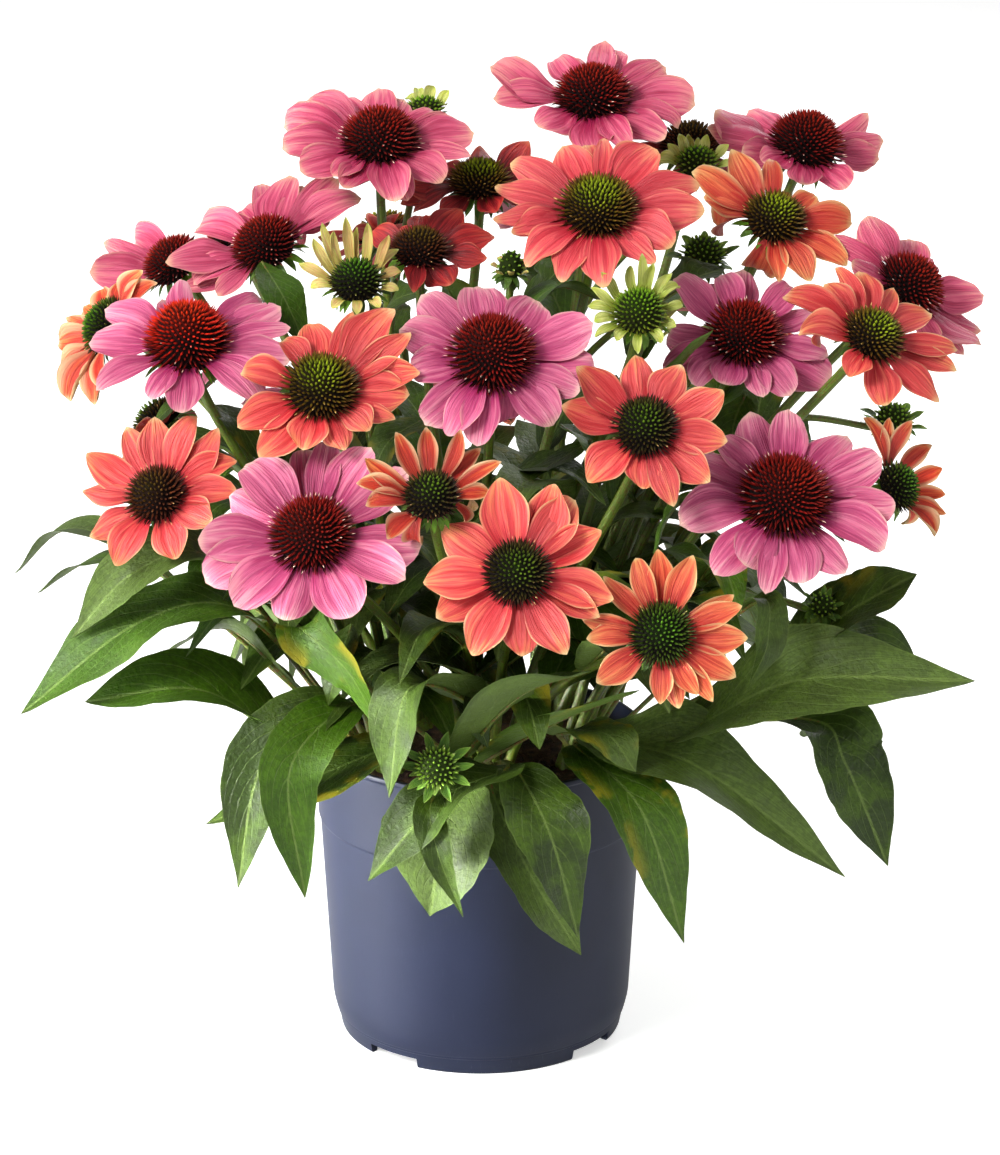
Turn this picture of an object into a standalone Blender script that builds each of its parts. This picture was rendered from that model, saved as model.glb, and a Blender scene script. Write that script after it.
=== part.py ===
"""Coneflower plant in its nursery pot.

A tapered plastic pot holds soil. Six rootstocks stand in holes in the soil, and each one carries its
own leafy stems. Every stem ends in a flower head: a ring of petals with a spiny cone on it, or a bud.
Metres, +Z up. The pot stands on z = 0 with its axis on the origin. The front of the plant is towards
-Y, and a direction round it is given in degrees clockwise from the front, seen from above.
"""
import math
import random
from collections import namedtuple

import bmesh
import bpy
from mathutils import Matrix, Vector

# The pot
RIM_R = 0.085
POT_HEIGHT = 0.160
COLLAR_BOTTOM = 0.118
COLLAR_STEP = 0.0012
WALL_TOP_R = 0.0828
WALL_BOTTOM_R = 0.0773
WALL_BOTTOM = 0.017
FOOT_TOP_R = 0.0748
FOOT_TOP = 0.0095
FOOT_R = 0.0730
FOOT_WIDTH = 0.0040
WALL = 0.0016
LIP = 0.0008
FLOOR_UNDER = 0.0060
FLOOR_TOP = 0.0085
POT_SIDES = 28
NOTCH_AZIMUTHS = (-38.0, 52.0, 142.0, 232.0)
NOTCH_WIDTH = 0.030
NOTCH_HEIGHT = 0.0055
DRAIN_R = 0.0045
DRAIN_RING_R = 0.055
DRAIN_SIDES = 8

# The soil and the rootstocks that stand in it
GAP = 0.0003
SOIL_TOP = 0.1470
SOIL_BUMP = 0.0022
SOIL_RING_RADII = (0.026, 0.050, 0.070)
ROOT_R = 0.0110
ROOT_DEPTH = 0.024
ROOT_TOP = 0.1560
ROOT_SIDES = 8
STEM_RING_R = 0.0075
STEM_FOOT = 0.1530
STALK_RING_R = 0.0092
STALK_FOOT = 0.1532

# Stems, which rise and spread by these shares of their length and reach, and meet the head from
# a share of their length below it
STEM_R = 0.0025
BUD_STEM_R = 0.0018
STEM_SIDES = 5
STEM_SHARES = (0.0, 0.25, 0.60)
STEM_RISE = 0.42
STEM_SPREAD = 0.22
STEM_APPROACH = 0.24
COLLAR_SHARE = 0.62
COLLAR_HEIGHT = 0.0012
NECK = 0.0080

# Heads. A dome's bands are (share of the cone's radius, share of its height).
SINK = 0.0013
RIDGE = 0.0013
HUB_SHARE = 0.86
STEEP_HUB_SHARE = 1.04
STEEP_RISE = 15
RIDGE_RING = 0.94
LAYER_SPLIT = 4.5
SPINE = 0.0042
SPINE_LEAN = 0.65
CONE_BANDS = ((0.90, 0.0), (1.0, 0.30), (0.86, 0.66), (0.48, 0.93))
LOW_CONE_BANDS = ((0.94, 0.0), (1.0, 0.42), (0.66, 0.88))
LOW_CONE_HEIGHT = 0.0145
CONE_SIDES = 7
CROWN_BANDS = ((0.80, 0.55),)
SEED = 11

# Leaves: (share of the way from root to tip, share of the full width) at each section of a leaf
LEAF_THICK = 0.0010
LEAF_FOLD = 0.22
LEAF_WAVE = 0.0016
LEAF_STALK = 0.0026
STALK_RIDGE = 0.0008
RIM_CLEARANCE = 0.012
RIM_SHARES = (0.35, 0.45, 0.55, 0.65)
RIM_INSIDE = 0.92
STALKED = ((0.0, 0), (0.28, 0), (0.50, 0.40), (0.63, 1.0), (0.78, 0.95), (0.90, 0.55))
STALKLESS = ((0.0, 0), (0.25, 0.60), (0.50, 1.0), (0.76, 0.72))

# The photograph's view, which places the heads and leaves that it shows
EYE = Vector((0.010, -2.0, 0.912))
EYE_PITCH = math.radians(18.5)
FOCAL_PX = 4150.0
CENTRE_PX = (500.0, 577.5)


def at(x, y, z):
    return Vector((x, y, z))


def seen(u, v, y):
    """The point of the plant that the photograph shows at pixel (u, v), y metres behind the pot's axis."""
    across = (u - CENTRE_PX[0]) / FOCAL_PX
    above = (CENTRE_PX[1] - v) / FOCAL_PX
    forward = math.cos(EYE_PITCH) + above * math.sin(EYE_PITCH)
    rise = above * math.cos(EYE_PITCH) - math.sin(EYE_PITCH)
    reach = (y - EYE.y) / forward
    return Vector((EYE.x + across * reach, y, EYE.z + rise * reach))


Clump = namedtuple("Clump", "name x y")
CLUMPS = {
    "front": Clump("leafy_stems_front", 0.006, -0.047),
    "left": Clump("leafy_stems_left", -0.046, -0.018),
    "right": Clump("leafy_stems_right", 0.048, -0.014),
    "middle": Clump("leafy_stems_middle", 0.000, 0.000),
    "back left": Clump("leafy_stems_back_left", -0.034, 0.040),
    "back right": Clump("leafy_stems_back_right", 0.034, 0.042),
}

# A head: its clump, the middle of its petal ring, the direction that it leans (degrees) and how far
# from straight up (degrees), its radius to the petal tips, its cone's radius and height, its petals'
# number and width, how far they rise at the ring (degrees), how far they bend on the way out (degrees,
# negative for downwards), and its kind.
Head = namedtuple("Head", "number clump place lean tilt spread cone_r cone_h petals width rise bend kind")
HEADS = (
    Head(1, "back right", seen(593, 102, 0.050), 0, 19, 0.0500, 0.0180, 0.019, 12, 0.0190, 6, -16, "rose"),
    Head(2, "back left", seen(380, 145, 0.020), 5, 24, 0.0480, 0.0180, 0.019, 12, 0.0185, 4, -16, "rose"),
    Head(3, "back right", seen(805, 150, 0.075), 42, 22, 0.0465, 0.0180, 0.020, 12, 0.0165, -2, -14, "rose"),
    Head(4, "middle", seen(597, 212, -0.035), 0, 32, 0.0500, 0.0185, 0.015, 14, 0.0170, 8, -18, "coral"),
    Head(5, "right", seen(773, 222, 0.000), 18, 38, 0.0410, 0.0150, 0.013, 12, 0.0145, 8, -20, "coral"),
    Head(6, "back left", seen(268, 249, 0.012), -38, 32, 0.0480, 0.0160, 0.016, 12, 0.0170, 8, -12, "rose"),
    Head(7, "left", seen(176, 266, 0.050), -60, 36, 0.0450, 0.0150, 0.014, 10, 0.0165, 8, -14, "rose"),
    Head(8, "left", seen(357, 286, -0.050), 0, 26, 0.0270, 0.0125, 0.013, 14, 0.0050, 34, -24, "opening"),
    Head(9, "middle", seen(420, 254, -0.020), 8, 20, 0.0390, 0.0140, 0.012, 12, 0.0140, 2, -26, "red"),
    Head(10, "back left", seen(480, 186, 0.040), 0, 17, 0.0350, 0.0150, 0.012, 12, 0.0130, -6, -30, "red"),
    Head(11, "left", seen(188, 346, -0.060), -8, 27, 0.0500, 0.0190, 0.024, 14, 0.0165, 4, -16, "pink"),
    Head(12, "left", seen(110, 328, 0.000), -76, 62, 0.0370, 0.0140, 0.012, 10, 0.0115, 14, -10, "coral"),
    Head(13, "left", seen(321, 392, -0.100), 2, 38, 0.0440, 0.0175, 0.016, 12, 0.0155, 8, -22, "coral"),
    Head(14, "middle", seen(492, 359, -0.085), 0, 41, 0.0465, 0.0195, 0.022, 12, 0.0190, 4, -18, "pink"),
    Head(15, "middle", seen(639, 316, -0.080), 0, 34, 0.0250, 0.0125, 0.013, 14, 0.0048, 30, -26, "opening"),
    Head(16, "right", seen(743, 338, -0.045), 8, 38, 0.0410, 0.0175, 0.016, 12, 0.0160, 4, -20, "pink"),
    Head(17, "right", seen(871, 339, -0.075), 34, 42, 0.0430, 0.0145, 0.013, 12, 0.0145, 4, -20, "coral"),
    Head(18, "right", seen(906, 290, -0.012), 56, 46, 0.0430, 0.0165, 0.018, 12, 0.0155, 0, -16, "rose"),
    Head(19, "front", seen(645, 430, -0.120), -6, 50, 0.0385, 0.0145, 0.014, 10, 0.0150, 6, -14, "coral"),
    Head(20, "right", seen(784, 501, -0.115), 8, 42, 0.0500, 0.0205, 0.022, 14, 0.0175, 4, -16, "pink"),
    Head(21, "right", seen(893, 488, -0.045), 62, 60, 0.0310, 0.0120, 0.012, 10, 0.0080, 22, -14, "coral"),
    Head(22, "left", seen(158, 498, -0.090), -24, 48, 0.0390, 0.0145, 0.013, 12, 0.0145, 6, -16, "coral"),
    Head(23, "front", seen(312, 538, -0.140), -10, 44, 0.0495, 0.0185, 0.018, 12, 0.0200, 2, -18, "pink"),
    Head(24, "front", seen(431, 499, -0.152), 0, 42, 0.0330, 0.0125, 0.012, 10, 0.0090, 22, -16, "coral"),
    Head(25, "front", seen(517, 575, -0.168), 0, 54, 0.0430, 0.0150, 0.014, 10, 0.0170, 4, -14, "coral"),
    Head(26, "front", seen(661, 636, -0.175), 4, 57, 0.0375, 0.0145, 0.014, 12, 0.0120, 8, -14, "coral"),
    Head(33, "back right", seen(690, 150, 0.105), 10, 14, 0.0350, 0.0150, 0.014, 10, 0.0120, 0, -24, "red"),
    Head(41, "back left", at(-0.125, 0.095, 0.392), 235, 34, 0.044, 0.0165, 0.016, 10, 0.017, 4, -16, "rose"),
    Head(42, "back left", at(-0.050, 0.140, 0.385), 205, 34, 0.043, 0.015, 0.014, 10, 0.016, 6, -18, "coral"),
    Head(43, "back right", at(0.040, 0.150, 0.398), 175, 32, 0.046, 0.018, 0.018, 10, 0.018, 4, -16, "pink"),
    Head(44, "back right", at(0.140, 0.138, 0.338), 136, 36, 0.043, 0.015, 0.014, 10, 0.016, 6, -18, "coral"),
    Head(45, "back left", at(-0.165, 0.062, 0.305), 252, 48, 0.040, 0.015, 0.014, 10, 0.015, 6, -16, "coral"),
    Head(46, "back left", at(-0.088, 0.160, 0.296), 210, 48, 0.045, 0.0175, 0.018, 10, 0.017, 4, -16, "pink"),
    Head(47, "back left", at(0.006, 0.172, 0.300), 182, 50, 0.040, 0.0145, 0.014, 10, 0.015, 6, -16, "coral"),
    Head(48, "back right", at(0.090, 0.166, 0.274), 156, 48, 0.043, 0.0165, 0.017, 10, 0.016, 4, -16, "rose"),
    Head(49, "back right", at(0.180, 0.060, 0.272), 108, 48, 0.040, 0.015, 0.014, 10, 0.015, 6, -16, "coral"),
    Head(27, "front", seen(437, 768, -0.150), 0, 60, 0.0190, 0.0095, 0.009, 10, 0.0045, 24, -12, "bud"),
    Head(28, "back right", seen(697, 165, 0.058), 0, 14, 0.0190, 0.0105, 0.010, 8, 0.0048, 40, -14, "bud"),
    Head(29, "middle", seen(703, 256, 0.030), 0, 22, 0.0200, 0.0110, 0.010, 8, 0.0050, 18, -12, "bud"),
    Head(30, "back left", seen(425, 112, 0.070), 10, 12, 0.0190, 0.0095, 0.008, 8, 0.0048, 42, -12, "bud"),
    Head(31, "right", seen(893, 420, 0.010), 20, 22, 0.0190, 0.0095, 0.008, 8, 0.0045, 26, -14, "bud"),
    Head(32, "right", seen(822, 606, -0.070), 20, 40, 0.0125, 0.0065, 0.006, 8, 0.0028, 30, -12, "bud"),
    Head(35, "middle", seen(511, 268, -0.030), 0, 18, 0.0110, 0.0065, 0.010, 8, 0.0035, 55, -40, "bud"),
)
ONE_PIECE = (7, 8, 12, 15, 21, 33, 41, 42, 43, 44)
ON_STEM = (45, 46, 47, 48, 49)
POINTED = ("opening", "bud")

# The sections of a petal between its root and its end: share of its length, share of its width, share
# of its ridge's height, and how far the ridge stops short of its edges
BROAD_PETAL = ((0.62, 1.0, 1.0, 0.0), (1.0, 0.52, 0.6, 0.07))
SLIM_PETAL = ((0.56, 1.0, 1.0, 0.0), (1.0, 0.36, 0.6, 0.03))
PETAL_STATIONS = {"opening": ((0.55, 0.9, 1.0, 0.0),), "bud": ((0.55, 0.9, 1.0, 0.0),),
                  "coral": SLIM_PETAL, "red": SLIM_PETAL}

# Side shoots: the head that each one ends in, the head whose stem it grows from, and how far up that
SIDE_SHOOTS = {28: (1, 0.55), 29: (4, 0.55), 30: (2, 0.60), 31: (18, 0.55), 32: (20, 0.45), 35: (14, 0.55)}

# A leaf of the skirt that the photograph shows: its clump, the start, middle and tip of its blade, its
# width, and how far it rolls about its rib (degrees).
Leaf = namedtuple("Leaf", "clump start middle tip width roll")
LEAVES = (
    Leaf("left", seen(160, 572, -0.02), seen(72, 528, 0.02), seen(14, 574, 0.03), 0.024, 0),
    Leaf("left", seen(215, 560, -0.09), seen(135, 572, -0.10), seen(72, 638, -0.10), 0.030, -20),
    Leaf("left", seen(240, 610, -0.09), seen(140, 622, -0.10), seen(21, 714, -0.11), 0.036, -10),
    Leaf("left", seen(300, 690, -0.08), seen(228, 628, -0.06), seen(160, 655, -0.05), 0.030, 20),
    Leaf("left", seen(300, 745, -0.08), seen(200, 690, -0.10), seen(85, 702, -0.10), 0.044, -10),
    Leaf("left", seen(335, 700, -0.10), seen(262, 765, -0.125), seen(238, 888, -0.12), 0.036, -25),
    Leaf("left", seen(352, 705, -0.10), seen(290, 770, -0.145), seen(305, 898, -0.15), 0.030, -35),
    Leaf("left", seen(395, 745, -0.09), seen(320, 775, -0.11), seen(206, 824, -0.11), 0.046, 0),
    Leaf("front", seen(300, 628, -0.10), seen(348, 672, -0.125), seen(383, 736, -0.13), 0.030, 30),
    Leaf("front", seen(468, 700, -0.12), seen(408, 690, -0.145), seen(389, 798, -0.15), 0.038, 20),
    Leaf("front", seen(466, 752, -0.12), seen(520, 695, -0.14), seen(592, 670, -0.13), 0.040, 10),
    Leaf("front", seen(490, 756, -0.10), seen(560, 720, -0.115), seen(640, 690, -0.11), 0.038, -10),
    Leaf("front", seen(505, 770, -0.12), seen(440, 800, -0.145), seen(368, 881, -0.15), 0.040, 10),
    Leaf("front", seen(455, 790, -0.11), seen(440, 850, -0.13), seen(430, 916, -0.125), 0.054, 0),
    Leaf("front", seen(432, 800, -0.145), seen(437, 850, -0.16), seen(463, 917, -0.16), 0.015, 0),
    Leaf("front", seen(492, 790, -0.10), seen(528, 870, -0.125), seen(581, 955, -0.125), 0.038, 0),
    Leaf("front", seen(520, 775, -0.12), seen(552, 840, -0.145), seen(578, 938, -0.14), 0.038, 0),
    Leaf("right", seen(580, 750, -0.08), seen(642, 812, -0.115), seen(684, 943, -0.115), 0.040, 0),
    Leaf("right", seen(600, 740, -0.07), seen(700, 768, -0.10), seen(845, 877, -0.10), 0.052, 10),
    Leaf("right", seen(560, 732, -0.09), seen(606, 734, -0.11), seen(636, 772, -0.12), 0.028, 0),
    Leaf("right", seen(690, 728, -0.08), seen(800, 680, -0.105), seen(975, 681, -0.11), 0.050, 0),
    Leaf("right", seen(790, 655, -0.04), seen(870, 642, -0.04), seen(928, 684, -0.045), 0.032, 0),
    Leaf("right", seen(812, 720, -0.06), seen(846, 765, -0.08), seen(888, 866, -0.08), 0.040, 0),
    Leaf("right", seen(790, 650, -0.06), seen(858, 606, -0.075), seen(917, 574, -0.075), 0.036, 10),
    Leaf("right", seen(755, 600, -0.10), seen(768, 640, -0.115), seen(750, 684, -0.115), 0.016, 20),
)

# The skirt's back: the rootstock and the direction of each leaf. Their reach, the height of their
# arch and their width take turns, and they roll to either side in turn (degrees).
BACK_LEAVES = (("right", 104), ("back right", 124), ("back right", 138), ("back right", 152),
               ("back right", 165), ("back left", 184), ("back left", 199), ("back left", 213),
               ("back left", 225), ("back left", 238), ("left", 257))
BACK_REACH = (0.165, 0.196, 0.182)
BACK_CROWN = (0.205, 0.225, 0.240)
BACK_WIDTH = (0.046, 0.052, 0.048)
BACK_SHARES = (0.50, 0.76, 1.0)
BACK_START_DROP = 0.02
BACK_ROLL = 25.0
BACK_TIP_HEIGHT = 0.110
SIDE_TIP_RISE = 0.090

# Leaves on the stems: one on each stem named here, turned this far from the stem's own direction. A
# leaf's route is given in shares of its length, outwards and upwards.
STEM_LEAVES = ((5, 20), (7, 20), (11, 10), (13, -20), (16, -25), (18, 10), (19, 20), (20, -20), (22, 15),
               (24, -15), (41, 10), (42, -15), (43, 15), (44, -10), (45, 15), (47, 10), (48, 15))
STEM_LEAF_SHARE = (0.34, 0.50)
STEM_LEAF_LENGTH = (0.064, 0.086)
STEM_LEAF_WIDTH = 0.32
STEM_LEAF_ROUTE = ((0.0, 0.0), (0.34, 0.26), (0.70, 0.30), (1.0, 0.08))


def direction(azimuth):
    """Level unit vector at an azimuth in degrees clockwise from the front."""
    turn = math.radians(azimuth)
    return Vector((math.sin(turn), -math.cos(turn), 0))


def facing(head):
    """The way a head faces: straight up, tipped by its tilt towards its lean."""
    tilt = math.radians(head.tilt)
    return direction(head.lean) * math.sin(tilt) + Vector((0, 0, math.cos(tilt)))


def head_matrix(head):
    """Places a head that is modelled on the origin, facing up."""
    up = facing(head)
    across = direction(head.lean + 90)
    turned_to = Matrix((across, up.cross(across), up)).transposed()
    return Matrix.Translation(head.place) @ turned_to.to_4x4()


def bezier(controls, share):
    """Point of the cubic curve with four control points."""
    a, b, c, d = controls
    rest = 1 - share
    return a * rest ** 3 + b * 3 * share * rest ** 2 + c * 3 * share ** 2 * rest + d * share ** 3


def through(points, share):
    """Point of a smooth curve through the given points (Catmull-Rom), share 0 to 1."""
    spans = len(points) - 1
    span = min(max(int(share * spans), 0), spans - 1)
    t = share * spans - span
    a = points[span - 1] if span else points[0] * 2 - points[1]
    b, c = points[span], points[span + 1]
    d = points[span + 2] if span + 2 <= spans else points[-1] * 2 - points[-2]
    return 0.5 * (2 * b + (c - a) * t + (2 * a - 5 * b + 4 * c - d) * t ** 2
                  + (3 * b - a - 3 * c + d) * t ** 3)


def stem_foot(head):
    """Where a stem starts: in another head's stem, or on the rootstock, where the feet of a clump's
    stems lie as its heads do, so that the stems spread without crossing."""
    if head.number in SIDE_SHOOTS:
        number, share = SIDE_SHOOTS[head.number]
        return bezier(stem_controls(next(other for other in HEADS if other.number == number)), share)
    clump = CLUMPS[head.clump]
    centre = Vector((clump.x, clump.y, STEM_FOOT))
    own = [other.place for other in HEADS if other.clump == head.clump and other.number not in SIDE_SHOOTS]
    middle = sum(own, Vector()) / len(own)
    furthest = max((place - middle).xy.length for place in own)
    offset = (head.place - middle) * (STEM_RING_R / furthest)
    return centre + Vector((offset.x, offset.y, 0))


def stem_controls(head):
    """Control points of a stem: it leaves its rootstock upwards and meets the head along its axis."""
    foot = stem_foot(head)
    top = head.place - facing(head) * GAP
    outward = Vector((top.x - foot.x, top.y - foot.y, 0))
    length = (top - foot).length
    rise = Vector((0, 0, STEM_RISE * length)) + outward * STEM_SPREAD
    return foot, foot + rise, top - facing(head) * STEM_APPROACH * length, top


def new_mesh(name, points, faces, finishes=(), dome=(0, 0)):
    """A mesh with its materials, of which the second is on the faces of the dome (first, last)."""
    mesh = bpy.data.meshes.new(name)
    mesh.from_pydata([tuple(p) for p in points], [], faces)
    mesh.update()
    for finish in finishes:
        mesh.materials.append(finish)
    for index in range(*dome):
        mesh.polygons[index].material_index = 1
    return mesh


def skinned(rings):
    """A closed skin with flat ends over rings of points that turn anticlockwise about the way along."""
    count = len(rings[0])
    points = [p for ring in rings for p in ring]
    last = (len(rings) - 1) * count
    faces = [tuple(reversed(range(count))), tuple(last + j for j in range(count))]
    for first in range(0, last, count):
        faces += between(first, first + count, count)
    return points, faces


def between(first, second, count):
    """The faces between two rings of count points, which start at the given indices."""
    return [(first + j, first + (j + 1) % count, second + (j + 1) % count, second + j) for j in range(count)]


def stem(head):
    """A tube along the stem's curve that widens under the head to a flat collar."""
    controls = stem_controls(head)
    up = facing(head)
    radius = BUD_STEM_R if head.kind == "bud" else STEM_R
    collar = head.cone_r * COLLAR_SHARE
    spine = [bezier(controls, share) for share in STEM_SHARES]
    spine += [controls[3] - up * NECK, controls[3] - up * COLLAR_HEIGHT, controls[3]]
    radii = [radius, radius, radius, radius, collar, collar]
    ahead = [(spine[k + 1] - spine[max(k - 1, 0)]).normalized() for k in range(4)] + [up, up]
    side = ahead[0].orthogonal()
    rings = []
    for centre, along, r in zip(spine, ahead, radii):
        side = (side - along * side.dot(along)).normalized()
        across = along.cross(side)
        turns = [2 * math.pi * j / STEM_SIDES for j in range(STEM_SIDES)]
        rings.append([centre + (side * math.cos(a) + across * math.sin(a)) * r for a in turns])
    return skinned(rings)


def blade(route, sections, width, roll=0.0):
    """A leaf along a route of points: a shallow V in section, its edges in turn higher and lower, and
    drawn to a point at the route's end. Both its faces are split into triangles alike, from the edges to
    the rib."""
    out = Vector((route[-1].x - route[0].x, route[-1].y - route[0].y, 0)).normalized()
    level = Vector((0, 0, 1)).cross(out)
    points = []
    for k, (share, breadth) in enumerate(sections):
        centre = through(route, share)
        along = (through(route, share + 0.02) - through(route, share - 0.02)).normalized()
        across = (level - along * level.dot(along)).normalized()
        across.rotate(Matrix.Rotation(math.radians(roll) * share, 3, along))
        above = along.cross(across)
        half = max(width * breadth, LEAF_STALK) / 2
        wave = LEAF_WAVE * (-1) ** k if breadth else 0.0
        ridge = 0.0 if breadth else STALK_RIDGE
        points += [centre + across * half + above * (half * LEAF_FOLD + wave), centre + above * ridge,
                   centre - across * half + above * (half * LEAF_FOLD - wave),
                   centre - above * (LEAF_THICK + ridge)]
    tip = len(points)
    points.append(route[-1])
    faces = [(3, 1, 0), (3, 2, 1)]
    for k in range(0, tip - 4, 4):
        for edge, rib in ((0, 1), (2, 1), (2, 3), (0, 3)):
            pair = [(k + edge, k + rib, k + rib + 4), (k + edge, k + rib + 4, k + edge + 4)]
            faces += pair if (edge, rib) in ((0, 1), (2, 3)) else [tuple(reversed(face)) for face in pair]
    faces += [(tip - 4 + j, tip - 4 + (j + 1) % 4, tip) for j in range(4)]
    return points, faces


def skirt_route(clump, start, middle, tip):
    """Out of the rootstock's side, over the pot's rim, and along the blade."""
    centre = Vector((clump.x, clump.y, STALK_FOOT))
    foot = centre + Vector((start.x - clump.x, start.y - clump.y, 0)).normalized() * STALK_RING_R
    ways = [foot.lerp(start, share) for share in RIM_SHARES]
    over = next((place for place in ways if place.xy.length > RIM_INSIDE * RIM_R), ways[-1])
    over.z = max(over.z, POT_HEIGHT + RIM_CLEARANCE)
    return foot, over, start, middle, tip


def skirt_leaves(key):
    """The leaves that hang over the pot's rim from one rootstock."""
    clump = CLUMPS[key]
    made = [blade(skirt_route(clump, leaf.start, leaf.middle, leaf.tip), STALKED, leaf.width, leaf.roll)
            for leaf in LEAVES if leaf.clump == key]
    for k, (owner, azimuth) in enumerate(BACK_LEAVES):
        if owner != key:
            continue
        out = direction(azimuth)
        reach, crown = BACK_REACH[k % 3], BACK_CROWN[k % 3]
        low = BACK_TIP_HEIGHT + SIDE_TIP_RISE * (1 - out.y)
        places = [out * (reach * share) + Vector((0, 0, height))
                  for share, height in zip(BACK_SHARES, (crown - BACK_START_DROP, crown, low))]
        made.append(blade(skirt_route(clump, *places), STALKED, BACK_WIDTH[k % 3], BACK_ROLL * (-1) ** k))
    return made


def stem_leaves(key):
    """The leaves on one rootstock's stems. Each rises from its stem, arches over and hangs its tip."""
    draw = random.Random(SEED + 1)
    made = []
    owners = {head.number: head for head in HEADS}
    for number, turn in STEM_LEAVES:
        share, length = draw.uniform(*STEM_LEAF_SHARE), draw.uniform(*STEM_LEAF_LENGTH)
        head = owners[number]
        if head.clump != key:
            continue
        base = bezier(stem_controls(head), share)
        azimuth = math.degrees(math.atan2(head.place.x, -head.place.y)) + turn
        out = direction(azimuth) * length
        up = Vector((0, 0, length))
        route = [base + out * along + up * above for along, above in STEM_LEAF_ROUTE]
        made.append(blade(route, STALKLESS, length * STEM_LEAF_WIDTH))
    return made


def spined(points, faces):
    """Raises every face to a point that leans upwards."""
    made = []
    for face in faces:
        corners = [points[index] for index in face]
        middle = sum(corners, Vector()) / len(corners)
        normal = (corners[1] - corners[0]).cross(corners[-1] - corners[0]).normalized()
        points.append(middle + (normal * (1 - SPINE_LEAN / 2) + Vector((0, 0, SPINE_LEAN))) * SPINE)
        made += [(face[j], face[(j + 1) % len(face)], len(points) - 1) for j in range(len(face))]
    return made


def dome_rings(head, bands, sides, floor):
    """Rings of a dome: each band is (share of the cone's radius, share of its height)."""
    return [Vector((head.cone_r * wide * math.cos(2 * math.pi * j / sides),
                    head.cone_r * wide * math.sin(2 * math.pi * j / sides), floor + head.cone_h * high))
            for wide, high in bands for j in range(sides)]


def cone(head):
    """A dome of coarse spines on a flat base."""
    bands = CONE_BANDS if head.cone_h > LOW_CONE_HEIGHT else LOW_CONE_BANDS
    points = dome_rings(head, bands, CONE_SIDES, RIDGE + GAP)
    last = (len(bands) - 1) * CONE_SIDES
    sloped = [face for k in range(0, last, CONE_SIDES) for face in between(k, k + CONE_SIDES, CONE_SIDES)]
    base = tuple(reversed(range(CONE_SIDES)))
    return points, [base] + spined(points, sloped + [tuple(last + j for j in range(CONE_SIDES))])


def petals(head, crowned):
    """Petals round a flat hub, turn about a little higher and lower so that neighbours pass over each
    other. A petal's section is a low triangle: its two edges and the ridge along its back. With crowned,
    a dome of spines stands on the hub in the same skin."""
    draw = random.Random(SEED * 100 + head.number)
    count = head.petals
    step = 2 * math.pi / count
    hub_r = head.cone_r * (STEEP_HUB_SHARE if head.rise > STEEP_RISE else HUB_SHARE)
    reach = head.spread - hub_r
    points = [Vector((hub_r * math.cos((i - 0.5) * step), hub_r * math.sin((i - 0.5) * step), 0))
              for i in range(count)]
    inner = hub_r * RIDGE_RING
    points += [Vector((inner * math.cos(i * step), inner * math.sin(i * step), RIDGE)) for i in range(count)]
    faces = [tuple(reversed(range(count)))]
    if crowned:
        points += dome_rings(head, CROWN_BANDS, count, RIDGE)
        faces += spined(points, between(count, 2 * count, count) + [tuple(range(2 * count, 3 * count))])
    else:
        faces.append(tuple(range(count, 2 * count)))
    pointed = head.kind in POINTED
    stations = PETAL_STATIONS.get(head.kind, BROAD_PETAL)
    for i in range(count):
        following = (i + 1) % count
        faces.append((count + i, following, count + following))
        split = LAYER_SPLIT * (-1) ** i
        rise = math.radians(head.rise + split + draw.uniform(-1.5, 1.5))
        bend = math.radians(head.bend + draw.uniform(-4, 4))
        angle = i * step + draw.uniform(-0.05, 0.05)
        length = reach * draw.uniform(0.93, 1.02)
        width = head.width * draw.uniform(0.92, 1.05)
        out = Vector((math.cos(angle), math.sin(angle), 0))
        side = Vector((-math.sin(angle), math.cos(angle), 0))
        ring = (i, count + i, following)
        for share, breadth, ridge, notch in stations:
            centre = petal_point(out, hub_r, length, rise, bend, share)
            half = width * breadth / 2
            first = len(points)
            back = petal_point(out, hub_r, length, rise, bend, share - notch)
            points += [centre - side * half, back + Vector((0, 0, RIDGE * ridge)), centre + side * half]
            made = (first, first + 1, first + 2)
            faces += [(ring[a], made[a], made[b], ring[b]) for a, b in ((0, 1), (1, 2), (2, 0))]
            ring = made
        if pointed:
            points.append(petal_point(out, hub_r, length, rise, bend, 1.0))
            tip = len(points) - 1
            faces += [(ring[a], tip, ring[b]) for a, b in ((0, 1), (1, 2), (2, 0))]
        else:
            faces.append((ring[0], ring[2], ring[1]))
    return points, faces


def petal_point(out, hub_r, length, rise, bend, share):
    """Point on a petal's underside: an arc that leaves the hub at the angle rise and turns by bend."""
    turn = rise + bend * share
    along = hub_r + length * (math.sin(turn) - math.sin(rise)) / bend
    above = length * (math.cos(rise) - math.cos(turn)) / bend
    return out * along + Vector((0, 0, above))


def material(name, colour, roughness):
    made = bpy.data.materials.new(name)
    made.use_nodes = True
    shader = made.node_tree.nodes["Principled BSDF"]
    shader.inputs["Base Color"].default_value = (*colour, 1)
    shader.inputs["Roughness"].default_value = roughness
    shader.inputs["Metallic"].default_value = 0.0
    made.diffuse_color = (*colour, 1)
    return made


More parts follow.
